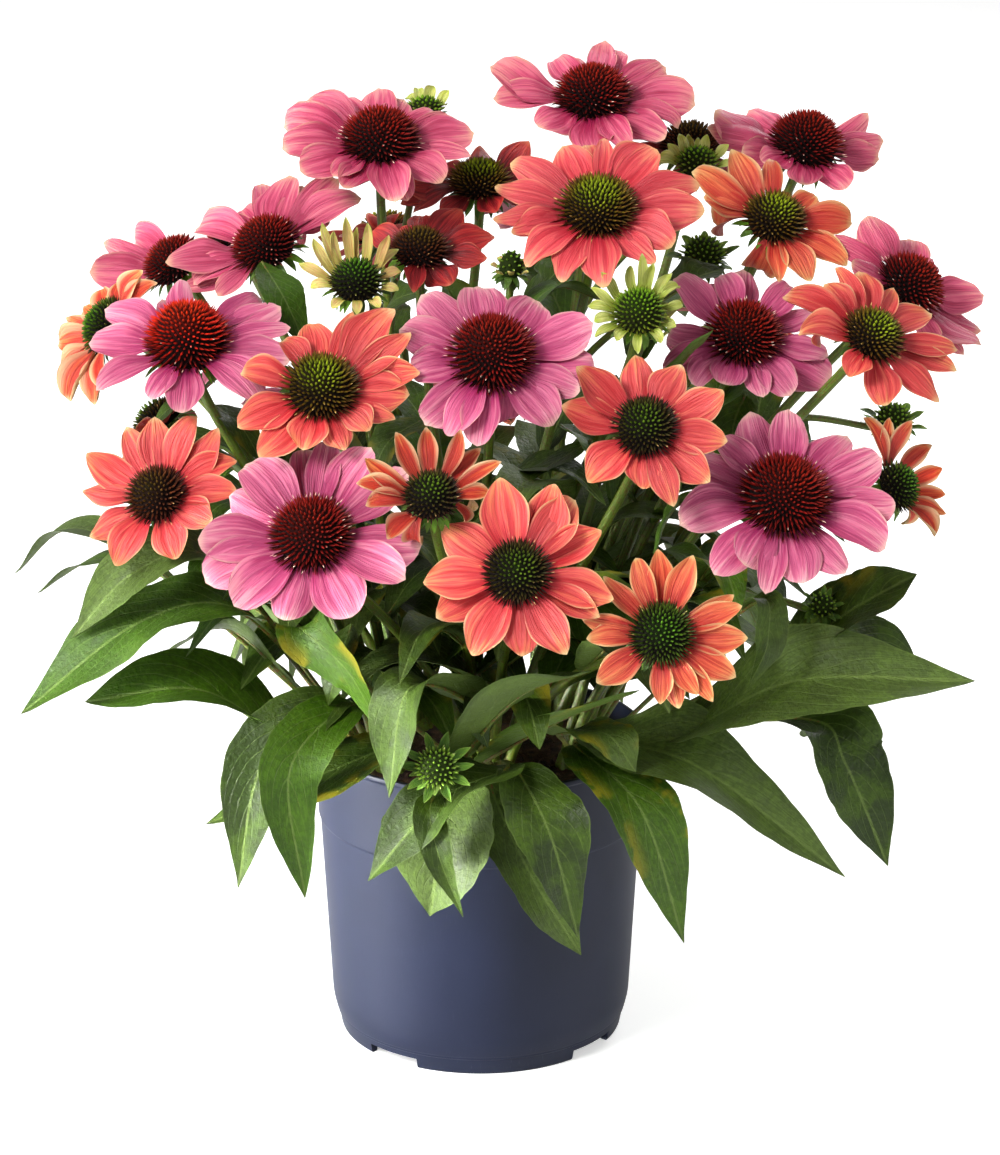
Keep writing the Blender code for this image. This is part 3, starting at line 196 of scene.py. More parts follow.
# Where the petals of the heads in view end, in the photograph's pixels, and how wide they are beside
# the head's width
TIPS = {
    1: ((494, 62, 1.15), (493, 101, 0.85), (538, 128, 1.15), (595, 149, 1.15), (628, 150, 0.8),
        (665, 137, 0.95), (683, 125, 0.6), (697, 101, 1.2), (666, 68, 1.1), (622, 45, 0.75),
        (605, 49, 0.8), (571, 58, 0.7), (554, 57, 0.85)),
    2: ((282, 122, 1.1), (281, 148, 1.1), (300, 171, 1.1), (334, 178, 0.8), (346, 188, 1),
        (396, 202, 1.15), (408, 199, 0.8), (443, 182, 1), (472, 154, 0.6), (474, 136, 1.2),
        (440, 112, 0.9), (452, 121, 0.7), (404, 98, 0.9), (378, 88, 1.05), (344, 97, 0.9), (303, 108, 1.1)),
    3: ((716, 109, 1.1), (748, 111, 0.95), (706, 127, 0.8), (742, 150, 0.8), (764, 164, 0.9),
        (804, 184, 0.95), (846, 190, 1), (880, 158, 0.9), (884, 140, 1.1), (868, 112, 0.7)),
    4: ((510, 159, 1.1), (494, 190, 0.8), (493, 223, 0.8), (511, 235, 0.9), (525, 267, 1), (560, 280, 1),
        (603, 288, 1.2), (579, 254, 1.3), (655, 263, 0.9), (673, 247, 1.25), (705, 211, 1.35),
        (700, 186, 1), (657, 150, 1.35), (604, 140, 0.6), (562, 146, 1.3), (585, 142, 1)),
    5: ((692, 170, 1.05), (702, 196, 1.1), (725, 236, 1.3), (758, 264, 1.2), (780, 281, 0.7),
        (809, 285, 1.1), (849, 264, 1.1), (852, 225, 1.2), (731, 149, 1.1), (769, 159, 0.75),
        (818, 196, 1.1)),
    6: ((166, 261, 1.15), (183, 289, 0.7), (192, 285, 0.9), (217, 296, 0.7), (264, 270, 0.9),
        (196, 230, 1.1), (226, 219, 0.85), (237, 208, 0.9), (262, 183, 0.75), (289, 174, 1.25),
        (302, 184, 0.8), (340, 181, 0.95), (362, 197, 1), (330, 222, 0.6), (302, 252, 0.6)),
    7: ((89, 271, 1.2), (104, 241, 0.7), (133, 236, 1.1), (182, 236, 0.8), (104, 288, 0.9),
        (150, 284, 0.7), (205, 262, 0.7)),
    9: ((372, 232, 1), (396, 234, 0.8), (420, 214, 0.9), (462, 210, 1.2), (495, 236, 1.1), (487, 262, 1),
        (451, 284, 1.25), (413, 294, 0.8), (399, 283, 0.8), (380, 262, 0.8)),
    10: ((403, 186, 1.2), (400, 204, 1), (412, 215, 0.9), (440, 214, 1), (480, 148, 1.1), (528, 140, 1.2),
         (437, 165, 1), (556, 168, 1.1), (540, 208, 1), (496, 214, 1.1)),
    11: ((105, 312, 1.05), (89, 345, 1.1), (95, 388, 0.8), (150, 400, 0.8), (182, 413, 1.1),
         (204, 389, 0.95), (262, 404, 1.15), (291, 360, 1.1), (291, 329, 0.75), (281, 307, 1.15),
         (264, 295, 0.9), (180, 279, 0.8), (162, 300, 0.75)),
    12: ((66, 318, 1), (60, 347, 1.3), (58, 378, 1.2), (73, 403, 1.1), (98, 405, 1), (88, 308, 1),
         (104, 288, 1), (122, 280, 0.9), (146, 272, 1.1), (158, 283, 0.8), (108, 392, 0.7)),
    13: ((309, 322, 1.2), (353, 312, 0.65), (391, 309, 1.35), (412, 334, 0.9), (420, 372, 1.1),
         (410, 396, 1.35), (396, 418, 0.7), (370, 432, 1), (345, 450, 0.9), (303, 451, 1.25),
         (258, 456, 1.2), (237, 428, 1.25), (240, 373, 1), (280, 341, 0.8)),
    14: ((421, 293, 1.15), (478, 285, 1.25), (540, 302, 1.2), (399, 330, 1.1), (424, 423, 1.2),
         (477, 445, 1), (508, 416, 1.4), (554, 424, 1.1), (592, 322, 1.2), (598, 366, 1.25),
         (580, 394, 0.8), (410, 375, 1), (450, 440, 0.9)),
    16: ((677, 277, 1), (706, 283, 0.7), (720, 275, 0.9), (743, 268, 1.1), (793, 288, 1), (816, 312, 0.8),
         (830, 356, 0.8), (831, 382, 1.5), (791, 396, 1.1), (764, 396, 0.8), (724, 386, 1.2),
         (692, 384, 0.9), (667, 333, 1), (664, 376, 0.8)),
    17: ((782, 298, 1), (797, 333, 1.2), (821, 350, 0.8), (848, 379, 1), (886, 407, 1.3), (938, 404, 1),
         (958, 369, 0.8), (958, 350, 0.9), (932, 314, 1.1), (892, 290, 0.8), (835, 267, 0.7),
         (858, 272, 1.15), (824, 284, 0.9)),
    18: ((828, 240, 0.8), (850, 264, 0.8), (866, 217, 1.3), (911, 237, 1.1), (984, 294, 1.25),
         (982, 330, 0.8), (983, 343, 1), (966, 354, 0.7), (935, 345, 0.7), (880, 290, 0.7), (940, 262, 0.6)),
    19: ((562, 405, 1.15), (578, 367, 1.2), (635, 353, 1.1), (682, 367, 1.2), (724, 390, 1.15),
         (728, 442, 1.25), (710, 482, 1.2), (674, 508, 0.95), (643, 490, 1.1), (588, 484, 1.25)),
    20: ((750, 411, 1.15), (788, 411, 1.1), (848, 434, 1.1), (882, 460, 1.2), (898, 508, 1.25),
         (884, 551, 1.1), (846, 573, 1), (803, 584, 1.2), (766, 592, 0.8), (744, 567, 1.15),
         (714, 574, 1.15), (677, 525, 1.25), (692, 462, 1), (718, 440, 0.9)),
    22: ((154, 416, 1.2), (194, 415, 1), (219, 428, 1.15), (238, 462, 1), (238, 492, 1), (214, 523, 1.2),
         (177, 560, 1.2), (117, 568, 1.25), (90, 538, 1), (82, 490, 0.9), (87, 453, 1.2), (126, 427, 1)),
    23: ((226, 492, 1.1), (244, 460, 1.2), (304, 446, 0.9), (330, 440, 0.8), (370, 446, 1),
         (408, 470, 0.9), (422, 545, 1), (406, 580, 1), (352, 617, 1.25), (312, 603, 1.3), (284, 620, 1),
         (234, 607, 1.15), (203, 581, 1.1), (198, 541, 1.15)),
    25: ((500, 478, 1.35), (555, 484, 1.2), (576, 499, 1.2), (602, 531, 1), (614, 602, 1.1),
         (600, 617, 0.8), (567, 655, 1.1), (523, 658, 1.15), (472, 656, 1.2), (436, 618, 1.15),
         (423, 583, 1.25), (441, 525, 1.2)),
    26: ((602, 577, 0.9), (635, 556, 0.9), (658, 549, 1.1), (693, 556, 1.15), (734, 595, 0.8),
         (742, 606, 1), (748, 638, 1.2), (736, 678, 1.2), (713, 702, 0.85), (698, 696, 0.8),
         (679, 709, 0.9), (660, 705, 0.9), (596, 683, 1.3), (586, 640, 0.95), (581, 619, 0.9)),
    8: ((312, 238, 1), (322, 224, 1), (346, 219, 1), (368, 224, 1), (390, 234, 1), (399, 251, 1),
        (401, 272, 1), (399, 292, 1), (380, 308, 1), (357, 317, 1), (332, 309, 1), (310, 290, 1),
        (298, 266, 1), (333, 230, 0.8), (357, 228, 0.8)),
    15: ((642, 254, 1), (654, 264, 1), (630, 266, 1), (602, 272, 1), (591, 288, 1), (588, 308, 1),
         (594, 324, 1), (594, 338, 1), (616, 343, 1), (638, 354, 1), (648, 340, 0.8), (661, 345, 1),
         (676, 327, 1), (683, 306, 1), (680, 289, 1), (672, 273, 1)),
    21: ((861, 418, 1), (888, 417, 1), (911, 421, 1), (932, 444, 1.1), (943, 468, 1.1), (946, 494, 1),
         (943, 516, 1), (933, 538, 1), (899, 523, 0.9), (857, 452, 0.9)),
    24: ((396, 433, 1.1), (426, 427, 1.1), (461, 430, 0.9), (481, 448, 0.8), (502, 463, 0.9),
         (490, 495, 0.9), (463, 512, 0.9), (445, 527, 0.8), (423, 536, 1), (387, 540, 1.1),
         (366, 508, 1.1), (356, 485, 1), (363, 459, 1.2)),
    28: ((659, 157, 1.1), (668, 141, 1.1), (679, 133, 1.1), (688, 131, 1.1), (707, 132, 1.1),
         (729, 144, 1), (737, 160, 1), (652, 171, 1), (698, 137, 0.8)),
    30: ((405, 98, 0.9), (418, 88, 1.2), (434, 86, 1.2), (449, 88, 1.2), (446, 105, 0.9), (427, 92, 0.9)),
}
NEAREST_TIP, FURTHEST_TIP, EYE_TURN = 0.72, 1.06, 0.5

# A leaf: its clump, the start, middle and tip of its blade, its width, and how far it rolls about its
# rib (degrees)
Leaf = namedtuple("Leaf", "clump start middle tip width roll")


def leaves_seen(table):
    """The leaves of a table that has, under each clump, a row for each leaf, with its places as seen takes
    them."""
    return [Leaf(clump, *(seen(*place) for place in places), width, roll)
            for clump, rows in table.items() for *places, width, roll in rows]


LEAVES = leaves_seen({
    "left": (
        ((160, 572, -0.02), (72, 528, 0.02), (14, 574, 0.03), 0.024, 0),
        ((215, 560, -0.09), (135, 572, -0.10), (72, 638, -0.10), 0.032, -35),
        ((240, 610, -0.09), (140, 622, -0.10), (21, 714, -0.11), 0.040, -25),
        ((300, 690, -0.08), (228, 628, -0.06), (160, 655, -0.05), 0.030, 20),
        ((300, 745, -0.08), (200, 690, -0.10), (85, 702, -0.10), 0.048, -25),
        ((335, 700, -0.10), (262, 765, -0.125), (238, 888, -0.12), 0.036, -25),
        ((352, 705, -0.10), (290, 770, -0.145), (305, 898, -0.15), 0.030, -35),
        ((395, 745, -0.09), (320, 775, -0.11), (206, 824, -0.11), 0.046, 0),
    ),
    "front": (
        ((300, 628, -0.10), (348, 672, -0.125), (383, 736, -0.13), 0.030, 30),
        ((468, 700, -0.12), (408, 690, -0.145), (389, 798, -0.15), 0.038, 20),
        ((466, 752, -0.12), (520, 695, -0.14), (592, 670, -0.13), 0.040, 10),
        ((490, 756, -0.10), (560, 720, -0.115), (640, 690, -0.11), 0.038, -10),
        ((505, 770, -0.12), (440, 800, -0.145), (368, 881, -0.15), 0.040, 10),
        ((455, 790, -0.11), (440, 850, -0.13), (430, 916, -0.125), 0.054, 0),
        ((432, 800, -0.145), (437, 850, -0.16), (463, 917, -0.16), 0.015, 0),
        ((492, 790, -0.10), (528, 870, -0.125), (581, 955, -0.125), 0.038, 0),
        ((520, 775, -0.12), (552, 840, -0.145), (578, 938, -0.14), 0.038, 0),
    ),
    "right": (
        ((580, 750, -0.08), (642, 812, -0.115), (684, 943, -0.115), 0.040, 0),
        ((600, 740, -0.07), (700, 768, -0.10), (845, 877, -0.10), 0.052, 22),
        ((560, 732, -0.09), (606, 734, -0.11), (636, 772, -0.12), 0.028, 0),
        ((690, 728, -0.08), (800, 680, -0.105), (975, 681, -0.11), 0.058, 42),
        ((790, 655, -0.04), (870, 642, -0.04), (928, 684, -0.045), 0.034, 25),
        ((812, 720, -0.06), (846, 765, -0.08), (888, 866, -0.08), 0.044, 45),
        ((790, 650, -0.06), (858, 606, -0.075), (917, 574, -0.075), 0.044, 45),
        ((755, 600, -0.10), (768, 640, -0.115), (750, 684, -0.115), 0.016, 20),
    ),
})
SMALL_LEAVES = leaves_seen({
    "left": (
        ((262, 262, -0.01), (284, 298, -0.03), (306, 346, -0.03), 0.022, 20),
        ((206, 392, -0.03), (178, 402, -0.04), (152, 424, -0.04), 0.017, 0),
        ((214, 405, -0.03), (240, 425, -0.04), (262, 462, -0.04), 0.022, 20),
        ((205, 548, -0.06), (200, 575, -0.07), (199, 603, -0.07), 0.012, 0),
        ((150, 568, -0.03), (92, 560, 0.00), (36, 594, 0.00), 0.020, 0),
    ),
    "middle": (
        ((605, 300, -0.02), (552, 288, -0.03), (502, 344, -0.04), 0.034, 20),
        ((592, 440, -0.05), (545, 468, -0.06), (503, 491, -0.065), 0.018, 0),
        ((430, 415, -0.03), (390, 440, -0.05), (372, 475, -0.05), 0.026, 0),
        ((560, 425, -0.04), (600, 450, -0.05), (612, 500, -0.05), 0.026, 20),
        ((520, 330, 0.00), (545, 285, -0.01), (575, 255, 0.00), 0.040, 20),
        ((460, 320, 0.02), (450, 290, 0.01), (430, 262, 0.01), 0.030, 0),
        ((655, 300, 0.00), (690, 280, -0.01), (725, 268, 0.00), 0.030, 20),
        ((690, 420, -0.03), (720, 400, -0.03), (745, 372, -0.02), 0.030, 20),
    ),
    "back left": (
        ((330, 380, 0.02), (300, 330, 0.01), (262, 300, 0.01), 0.040, -20),
        ((370, 330, 0.02), (395, 300, 0.01), (428, 290, 0.01), 0.036, 20),
    ),
    "back right": (
        ((760, 420, 0.03), (790, 440, 0.02), (812, 470, 0.02), 0.036, 20),
    ),
    "front": (
        ((679, 497, -0.10), (664, 524, -0.105), (652, 563, -0.10), 0.015, 0),
        ((470, 690, -0.12), (478, 720, -0.13), (488, 748, -0.13), 0.014, 0),
        ((352, 624, -0.10), (338, 664, -0.11), (328, 706, -0.11), 0.022, 0),
    ),
    "right": (
        ((664, 380, -0.055), (690, 352, -0.07), (713, 330, -0.075), 0.014, 0),
        ((722, 545, -0.05), (770, 590, -0.06), (790, 630, -0.06), 0.026, 10),
        ((800, 640, -0.05), (822, 600, -0.055), (850, 582, -0.05), 0.018, 0),
        ((745, 395, -0.02), (733, 430, -0.03), (741, 470, -0.03), 0.026, 10),
    ),
})
BACK_LEAVES = (("right", 104), ("back right", 124), ("back right", 138), ("back right", 152),
               ("back right", 165), ("back left", 184), ("back left", 199), ("back left", 213),
               ("back left", 225), ("back left", 238), ("left", 257))
BACK_REACH, BACK_CROWN, BACK_WIDTH = (0.165, 0.196, 0.182), (0.205, 0.225, 0.240), (0.046, 0.052, 0.048)
BACK_SHARES, BACK_START_DROP, BACK_ROLL = (0.50, 0.76, 1.0), 0.02, 25.0
BACK_TIP_HEIGHT, SIDE_TIP_RISE = 0.110, 0.090

# Leaves on the stems: the head whose stem carries it, how far it turns from the stem's own direction
STEM_LEAVES = ((5, 20), (7, 20), (11, 10), (13, -20), (16, -25), (18, 10), (19, 20), (20, -20), (22, 15),
               (24, -15), (41, 10), (42, -15), (43, 15), (44, -10), (45, 15), (47, 10), (48, 15))
STEM_LEAF_ROUTE = ((0.0, 0.0), (0.34, 0.26), (0.70, 0.30), (1.0, 0.08))
SEED = 11
leaf_draw = random.Random(SEED + 1)
STEM_LEAF_SIZES = [(leaf_draw.uniform(0.34, 0.50), leaf_draw.uniform(0.064, 0.086)) for _ in STEM_LEAVES]


# Directions and curves

def unit(v):
    """Vectors cut to a length of one."""
    return v / np.linalg.norm(v, axis=-1, keepdims=True)


def smooth(low, high, x):
    """0 below low, 1 above high, and an even S between them."""
    t = np.clip((x - low) / (high - low), 0, 1)
    return t * t * (3 - 2 * t)


def direction(azimuth):
    """Level unit vector at an azimuth in degrees clockwise from the front."""
    turn = math.radians(azimuth)
    return at(math.sin(turn), -math.cos(turn), 0)


def facing(head):
    """The way a head faces: straight up, tipped by its tilt towards its lean."""
    tilt = math.radians(head.tilt)
    return direction(head.lean) * math.sin(tilt) + UP * math.cos(tilt)


def axes_of(head):
    """A head's own axes: across its lean, along it, and the way that it faces."""
    up, across = facing(head), direction(head.lean + 90)
    return np.array((across, np.cross(up, across), up))


def placed(points, head, sink=0.0):
    """Points modelled on the origin, facing up, moved to the head's place and turned the way it faces."""
    return points @ axes_of(head) + head.place - facing(head) * sink


def bezier(controls, share):
    """Points of the cubic curve with four control points."""
    a, b, c, d = controls
    t = np.asarray(share, float)[..., None]
    return a * (1 - t) ** 3 + b * 3 * t * (1 - t) ** 2 + c * 3 * t ** 2 * (1 - t) + d * t ** 3


def through(points, share):
    """Points of a smooth curve through the given points (Catmull-Rom), share 0 to 1."""
    p = np.array([points[0] * 2 - points[1], *points, points[-1] * 2 - points[-2]])
    spans = len(points) - 1
    share = np.asarray(share, float)
    span = np.clip((share * spans).astype(int), 0, spans - 1)
    t = (share * spans - span)[..., None]
    a, b, c, d = p[span], p[span + 1], p[span + 2], p[span + 3]
    return 0.5 * (2 * b + (c - a) * t + (2 * a - 5 * b + 4 * c - d) * t ** 2
                  + (3 * b - a - 3 * c + d) * t ** 3)


def stem_foot(head):
    """Where a stem starts: in another head's stem, or on the rootstock, laid out as the heads lie."""
    if head.number in SIDE_SHOOTS:
        number, share = SIDE_SHOOTS[head.number]
        return bezier(stem_controls(next(other for other in HEADS if other.number == number)), share)
    own = np.array([other.place for other in HEADS
                    if other.clump == head.clump and other.number not in SIDE_SHOOTS])
    middle = own.mean(axis=0)
    furthest = np.linalg.norm((own - middle)[:, :2], axis=1).max()
    offset = (head.place - middle) * (STEM_RING_R / furthest)
    x, y = CLUMPS[head.clump]
    return at(x + offset[0], y + offset[1], STEM_FOOT)


def stem_controls(head):
    """Control points of a stem: it leaves its rootstock upwards and meets the head along its axis."""
    foot = stem_foot(head)
    top = head.place - facing(head) * GAP
    outward = (top - foot) * (1, 1, 0)
    length = np.linalg.norm(top - foot)
    return (foot, foot + UP * STEM_RISE * length + outward * STEM_SPREAD,
            top - facing(head) * STEM_APPROACH * length, top)


# Meshes: every shape is a set of points with its quads, its triangles, its way and its tone

def new_object(name, data):
    """A new object in the scene."""
    made = bpy.data.objects.new(name, data)
    bpy.context.scene.collection.objects.link(made)
    return made


class Gathered:
    """Shapes that become one piece."""

    def __init__(self):
        self.points, self.quads, self.triangles, self.way, self.tone = [], [], [], [], []
        self.quad_finish, self.triangle_finish, self.count = [], [], 0

    def add(self, points, quads, triangles, way, tone, finish=0):
        """Takes in a shape. Its way and its tone are one for each point, or one for all."""
        self.points.append(points)
        self.quads.append(quads + self.count)
        self.triangles.append(triangles + self.count)
        self.way.append(np.broadcast_to(way, points.shape))
        self.tone.append(np.broadcast_to(tone, points.shape))
        self.quad_finish.append(np.full(len(quads), finish))
        self.triangle_finish.append(np.full(len(triangles), finish))
        self.count += len(points)

    def piece(self, name, finishes, slot, nodes, sharp=75.0):
        """The piece: its mesh, its two attributes, its finishes, and the nodes that it stands for."""
        points = np.concatenate(self.points).astype(np.float32)
        quads, triangles = np.concatenate(self.quads), np.concatenate(self.triangles)
        corners = np.concatenate((quads.ravel(), triangles.ravel())).astype(np.int32)
        starts = np.concatenate((np.arange(len(quads)) * 4, len(quads) * 4 + np.arange(len(triangles)) * 3))
        mesh = bpy.data.meshes.new(name)
        mesh.vertices.add(len(points))
        mesh.vertices.foreach_set("co", points.ravel())
        mesh.loops.add(len(corners))
        mesh.loops.foreach_set("vertex_index", corners)
        mesh.polygons.add(len(starts))
        mesh.polygons.foreach_set("loop_start", starts.astype(np.int32))
        mesh.update(calc_edges=True)
        for finish in finishes:
            mesh.materials.append(finish)
        which = np.concatenate(self.quad_finish + self.triangle_finish).astype(np.int32)
        mesh.polygons.foreach_set("material_index", which)
        for label, values in (("way", self.way), ("tone", self.tone)):
            attribute = mesh.attributes.new(label, "FLOAT_VECTOR", "POINT")
            attribute.data.foreach_set("vector", np.concatenate(values).astype(np.float32).ravel())
        mesh.shade_smooth()
        mesh.set_sharp_from_angle(angle=math.radians(sharp))
        made = new_object(name, mesh)
        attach(made, "root")
        if nodes:
            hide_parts(*nodes)
        return made


NO_TRIANGLES, NO_QUADS = np.zeros((0, 3), int), np.zeros((0, 4), int)


def grid_of(*values):
    """Three numbers that run over a grid, stacked as its points or as an attribute's values."""
    return np.stack(np.broadcast_arrays(*values), axis=-1)


def round_trip(count):
    """Even turns round a circle, one row of them."""
    return np.linspace(0, 2 * np.pi, count, endpoint=False)[None]


def cells(index):
    """The quads between the rows and columns of a grid of point numbers."""
    return np.stack((index[:-1, :-1], index[1:, :-1], index[1:, 1:], index[:-1, 1:]), axis=-1).reshape(-1, 4)


def capped(rings, first, last):
    """A closed skin: rings of points, each joined to the next, and a point that closes either end."""
    rows, sides = rings.shape[:2]
    index = np.arange(rows * sides).reshape(rows, sides)
    index = np.concatenate((index, index[:, :1]), axis=1)
    start, end = index[0], index[-1]
    triangles = np.concatenate((np.stack((np.full(sides, rows * sides), start[1:], start[:-1]), axis=-1),
                                np.stack((np.full(sides, rows * sides + 1), end[:-1], end[1:]), axis=-1)))
    return np.concatenate((rings.reshape(-1, 3), (first, last))), cells(index)[:, ::-1], triangles


def both_faces(gathered, top, thick, way, tone, finish=0):
    """A thin closed sheet: the grid top, and the same grid let down along its normals by thick, which
    shares the grid's border. Tone's first value is 0 above and 1 underneath."""
    rows, columns = top.shape[:2]
    normal = unit(np.cross(np.gradient(top, axis=0), np.gradient(top, axis=1)) + 1e-12)
    upper = np.arange(rows * columns).reshape(rows, columns)
    lower = upper.copy()
    inner = (slice(1, -1), slice(1, -1))
    lower[inner] = rows * columns + np.arange((rows - 2) * (columns - 2)).reshape(rows - 2, -1)
    thick = np.broadcast_to(np.asarray(thick, float), (rows, columns))[..., None]
    points = np.concatenate((top.reshape(-1, 3), (top - normal * thick)[inner].reshape(-1, 3)))
    way = np.broadcast_to(way, top.shape)
    way = np.concatenate((way.reshape(-1, 3), way[inner].reshape(-1, 3)))
    tone = np.broadcast_to(tone, top.shape)
    under = tone[inner].reshape(-1, 3).copy()
    under[:, 0] = 1.0
    tone = np.concatenate((tone.reshape(-1, 3), under))
    gathered.add(points, np.concatenate((cells(upper), cells(lower)[:, ::-1])), NO_TRIANGLES, way, tone,
                 finish)


def tube(gathered, path, radii, sides, binormal, seed, finish=0):
    """A closed tube: a circle of the given radius round every point of the path, square to it."""
    along = unit(np.gradient(path, axis=0))
    side = unit(binormal - along * (along @ binormal)[:, None])
    across = np.cross(along, side)
    turn = round_trip(sides)[..., None]
    radii = np.broadcast_to(radii, len(path))[:, None, None]
    rings = path[:, None] + radii * (np.cos(turn) * side[:, None] + np.sin(turn) * across[:, None])
    around, share = np.linspace(0, 1, sides, endpoint=False)[None], np.linspace(0, 1, len(path))[:, None]
    way = np.concatenate((grid_of(around, share, seed).reshape(-1, 3), ((0.5, 0, seed), (0.5, 1, seed))))
    gathered.add(*capped(rings, path[0], path[-1]), way, (0.0, 0.0, seed % 1.0), finish)


# Petals

# How a petal is shaped: its width at the root and at the end as shares of its full width, how far out
# it is widest, how round its end is (depth and power), its end's notches, how far its edges rise, how
# deep its two grooves are, and how far its end curls (degrees)
Form = namedtuple("Form", "root end widest shoulder power notch cup groove curl")
BROAD = Form(0.46, 0.78, 0.56, 0.20, 2.2, 0.040, 0.03, 0.150, -12)
SLIM = Form(0.46, 0.48, 0.54, 0.13, 1.5, 0.010, 0.16, 0.160, -6)
CUPPED = Form(0.45, 0.42, 0.55, 0.10, 1.3, 0.0, 0.42, 0.02, 6)
QUILL = Form(0.70, 0.62, 0.62, 0.16, 1.5, 0.0, 0.45, 0.0, 0)
BRACT = Form(0.90, 0.16, 0.35, 0.05, 1.2, 0.0, 0.16, 0.0, -10)
FORMS = {"rose": BROAD, "pink": BROAD, "salmon": BROAD._replace(end=0.60, notch=0.012, cup=0.10),
         "coral": SLIM, "amber": SLIM, "red": SLIM, "flame": CUPPED, "blush": QUILL, "lime": QUILL,
         "bud": BRACT}


def petal(gathered, head, form, angle, hub, length, width, rise, bend, draw, rows, columns, lift=0.0,
          thick=PETAL_THICK, finish=0, sink=0.0, whim=0.0, turn=0.0):
    """A petal. Its middle line leaves the hub at the angle rise, bends evenly on the way out and curls
    over its last quarter. Half its width grows from the root to where it is widest and shrinks to its
    end, which is cut back towards its corners and at its notches. Across, it rises with the square of
    the distance to its edges, dips at two grooves, ripples along its edges, twists and sways sideways.
    Whim is how much its fold and its curl differ from its neighbours', and turn is how far it turns
    about its length."""
    u, s = np.linspace(0, 1, rows)[:, None], np.linspace(-1, 1, columns)[None]
    cut = form.shoulder * np.abs(s) ** form.power
    cut = cut + form.notch * np.exp(-((np.abs(s) - GROOVE_PLACE) / 0.13) ** 2) * (0.6 + 0.8 * draw.random())
    t = u * (1 - cut * smooth(0.25, 1.0, u))
    growing = form.root + (1 - form.root) * np.sin(np.minimum(u / form.widest, 1) * np.pi / 2) ** 1.1
    past = np.clip((u - form.widest) / (1 - form.widest), 0, 1)
    half = width / 2 * (growing - (1 - form.end) * past ** 1.9)
    steps = np.linspace(0, 1, 40)
    curl = form.curl + draw.normal(0, 7 + 12 * whim)
    slope = np.radians(rise + bend * steps + curl * smooth(0.72, 1.0, steps))
    pace = length / (len(steps) - 1)
    out_line = hub + pace * np.concatenate(((0,), np.cumsum(np.cos(slope[:-1]))))
    up_line = lift + pace * np.concatenate(((0,), np.cumsum(np.sin(slope[:-1]))))
    there = np.interp(t, steps, slope)
    twist = draw.normal(0, 0.16 + 0.12 * whim) * t ** 1.3 - turn * smooth(0.05, 0.5, t)
    sway = draw.normal(0, 0.04) * np.sin(np.pi * t) * length
    cup = form.cup + 0.20 * whim * draw.normal()
    ripple = 0.07 * np.abs(s) ** 3 * np.sin(draw.uniform(0, 6.3) + 7 * t + 1.5 * s) * t
    groove = -form.groove * (0.5 - 0.5 * np.cos(np.pi * s / GROOVE_PLACE)) * (1 - s ** 2) * (1 - 0.5 * t)
    high = half * (cup * s ** 2 * (0.5 + t) + groove) + width * ripple
    out, side = at(math.cos(angle), math.sin(angle), 0), at(-math.sin(angle), math.cos(angle), 0)
    normal = -np.sin(there)[..., None] * out + np.cos(there)[..., None] * UP
    across = np.cos(twist)[..., None] * side + np.sin(twist)[..., None] * normal
    points = (np.interp(t, steps, out_line)[..., None] * out + np.interp(t, steps, up_line)[..., None] * UP
              + (half * s + sway)[..., None] * across + high[..., None] * normal)
    seed = draw.uniform(0, 40)
    both_faces(gathered, placed(points.reshape(-1, 3), head, sink).reshape(rows, columns, 3), thick,
               grid_of(s, t, seed), grid_of(0.0, head.number / 50, draw.random()), finish)


def aimed(head):
    """The petals of a head that the photograph shows: for each, its direction round the cone, how far out
    and how far up its tip lies, its width, and how far it turns about its length towards the eye. The
    tip is where its line of sight meets the plane of the petals, or if that is too far out or too
    near, where the line meets a ball about the head."""
    across, along, up = axes_of(head)
    from_eye = head.place - EYE
    made = []
    for u, v, wide in TIPS[head.number]:
        sight = unit(seen(u, v, 0.0) - EYE)
        reach = (from_eye @ up) / (sight @ up)
        radius = np.linalg.norm(sight * reach - from_eye)
        ball = min(max(radius, NEAREST_TIP * head.spread), FURTHEST_TIP * head.spread)
        if ball != radius:
            half = math.sqrt(max(ball ** 2 - from_eye @ from_eye + (from_eye @ sight) ** 2, 0))
            ends = from_eye @ sight - half, from_eye @ sight + half
            reach = ends[1] if radius < ball else min(ends, key=lambda end: abs(end - reach))
        tip = sight * reach - from_eye
        x, y = tip @ across, tip @ along
        side = unit(x * along - y * across)
        turn = EYE_TURN * math.atan2(-from_eye @ side, -from_eye @ up)
        made.append((math.atan2(y, x), math.hypot(x, y), tip @ up, wide * head.width, turn))
    return sorted(made)


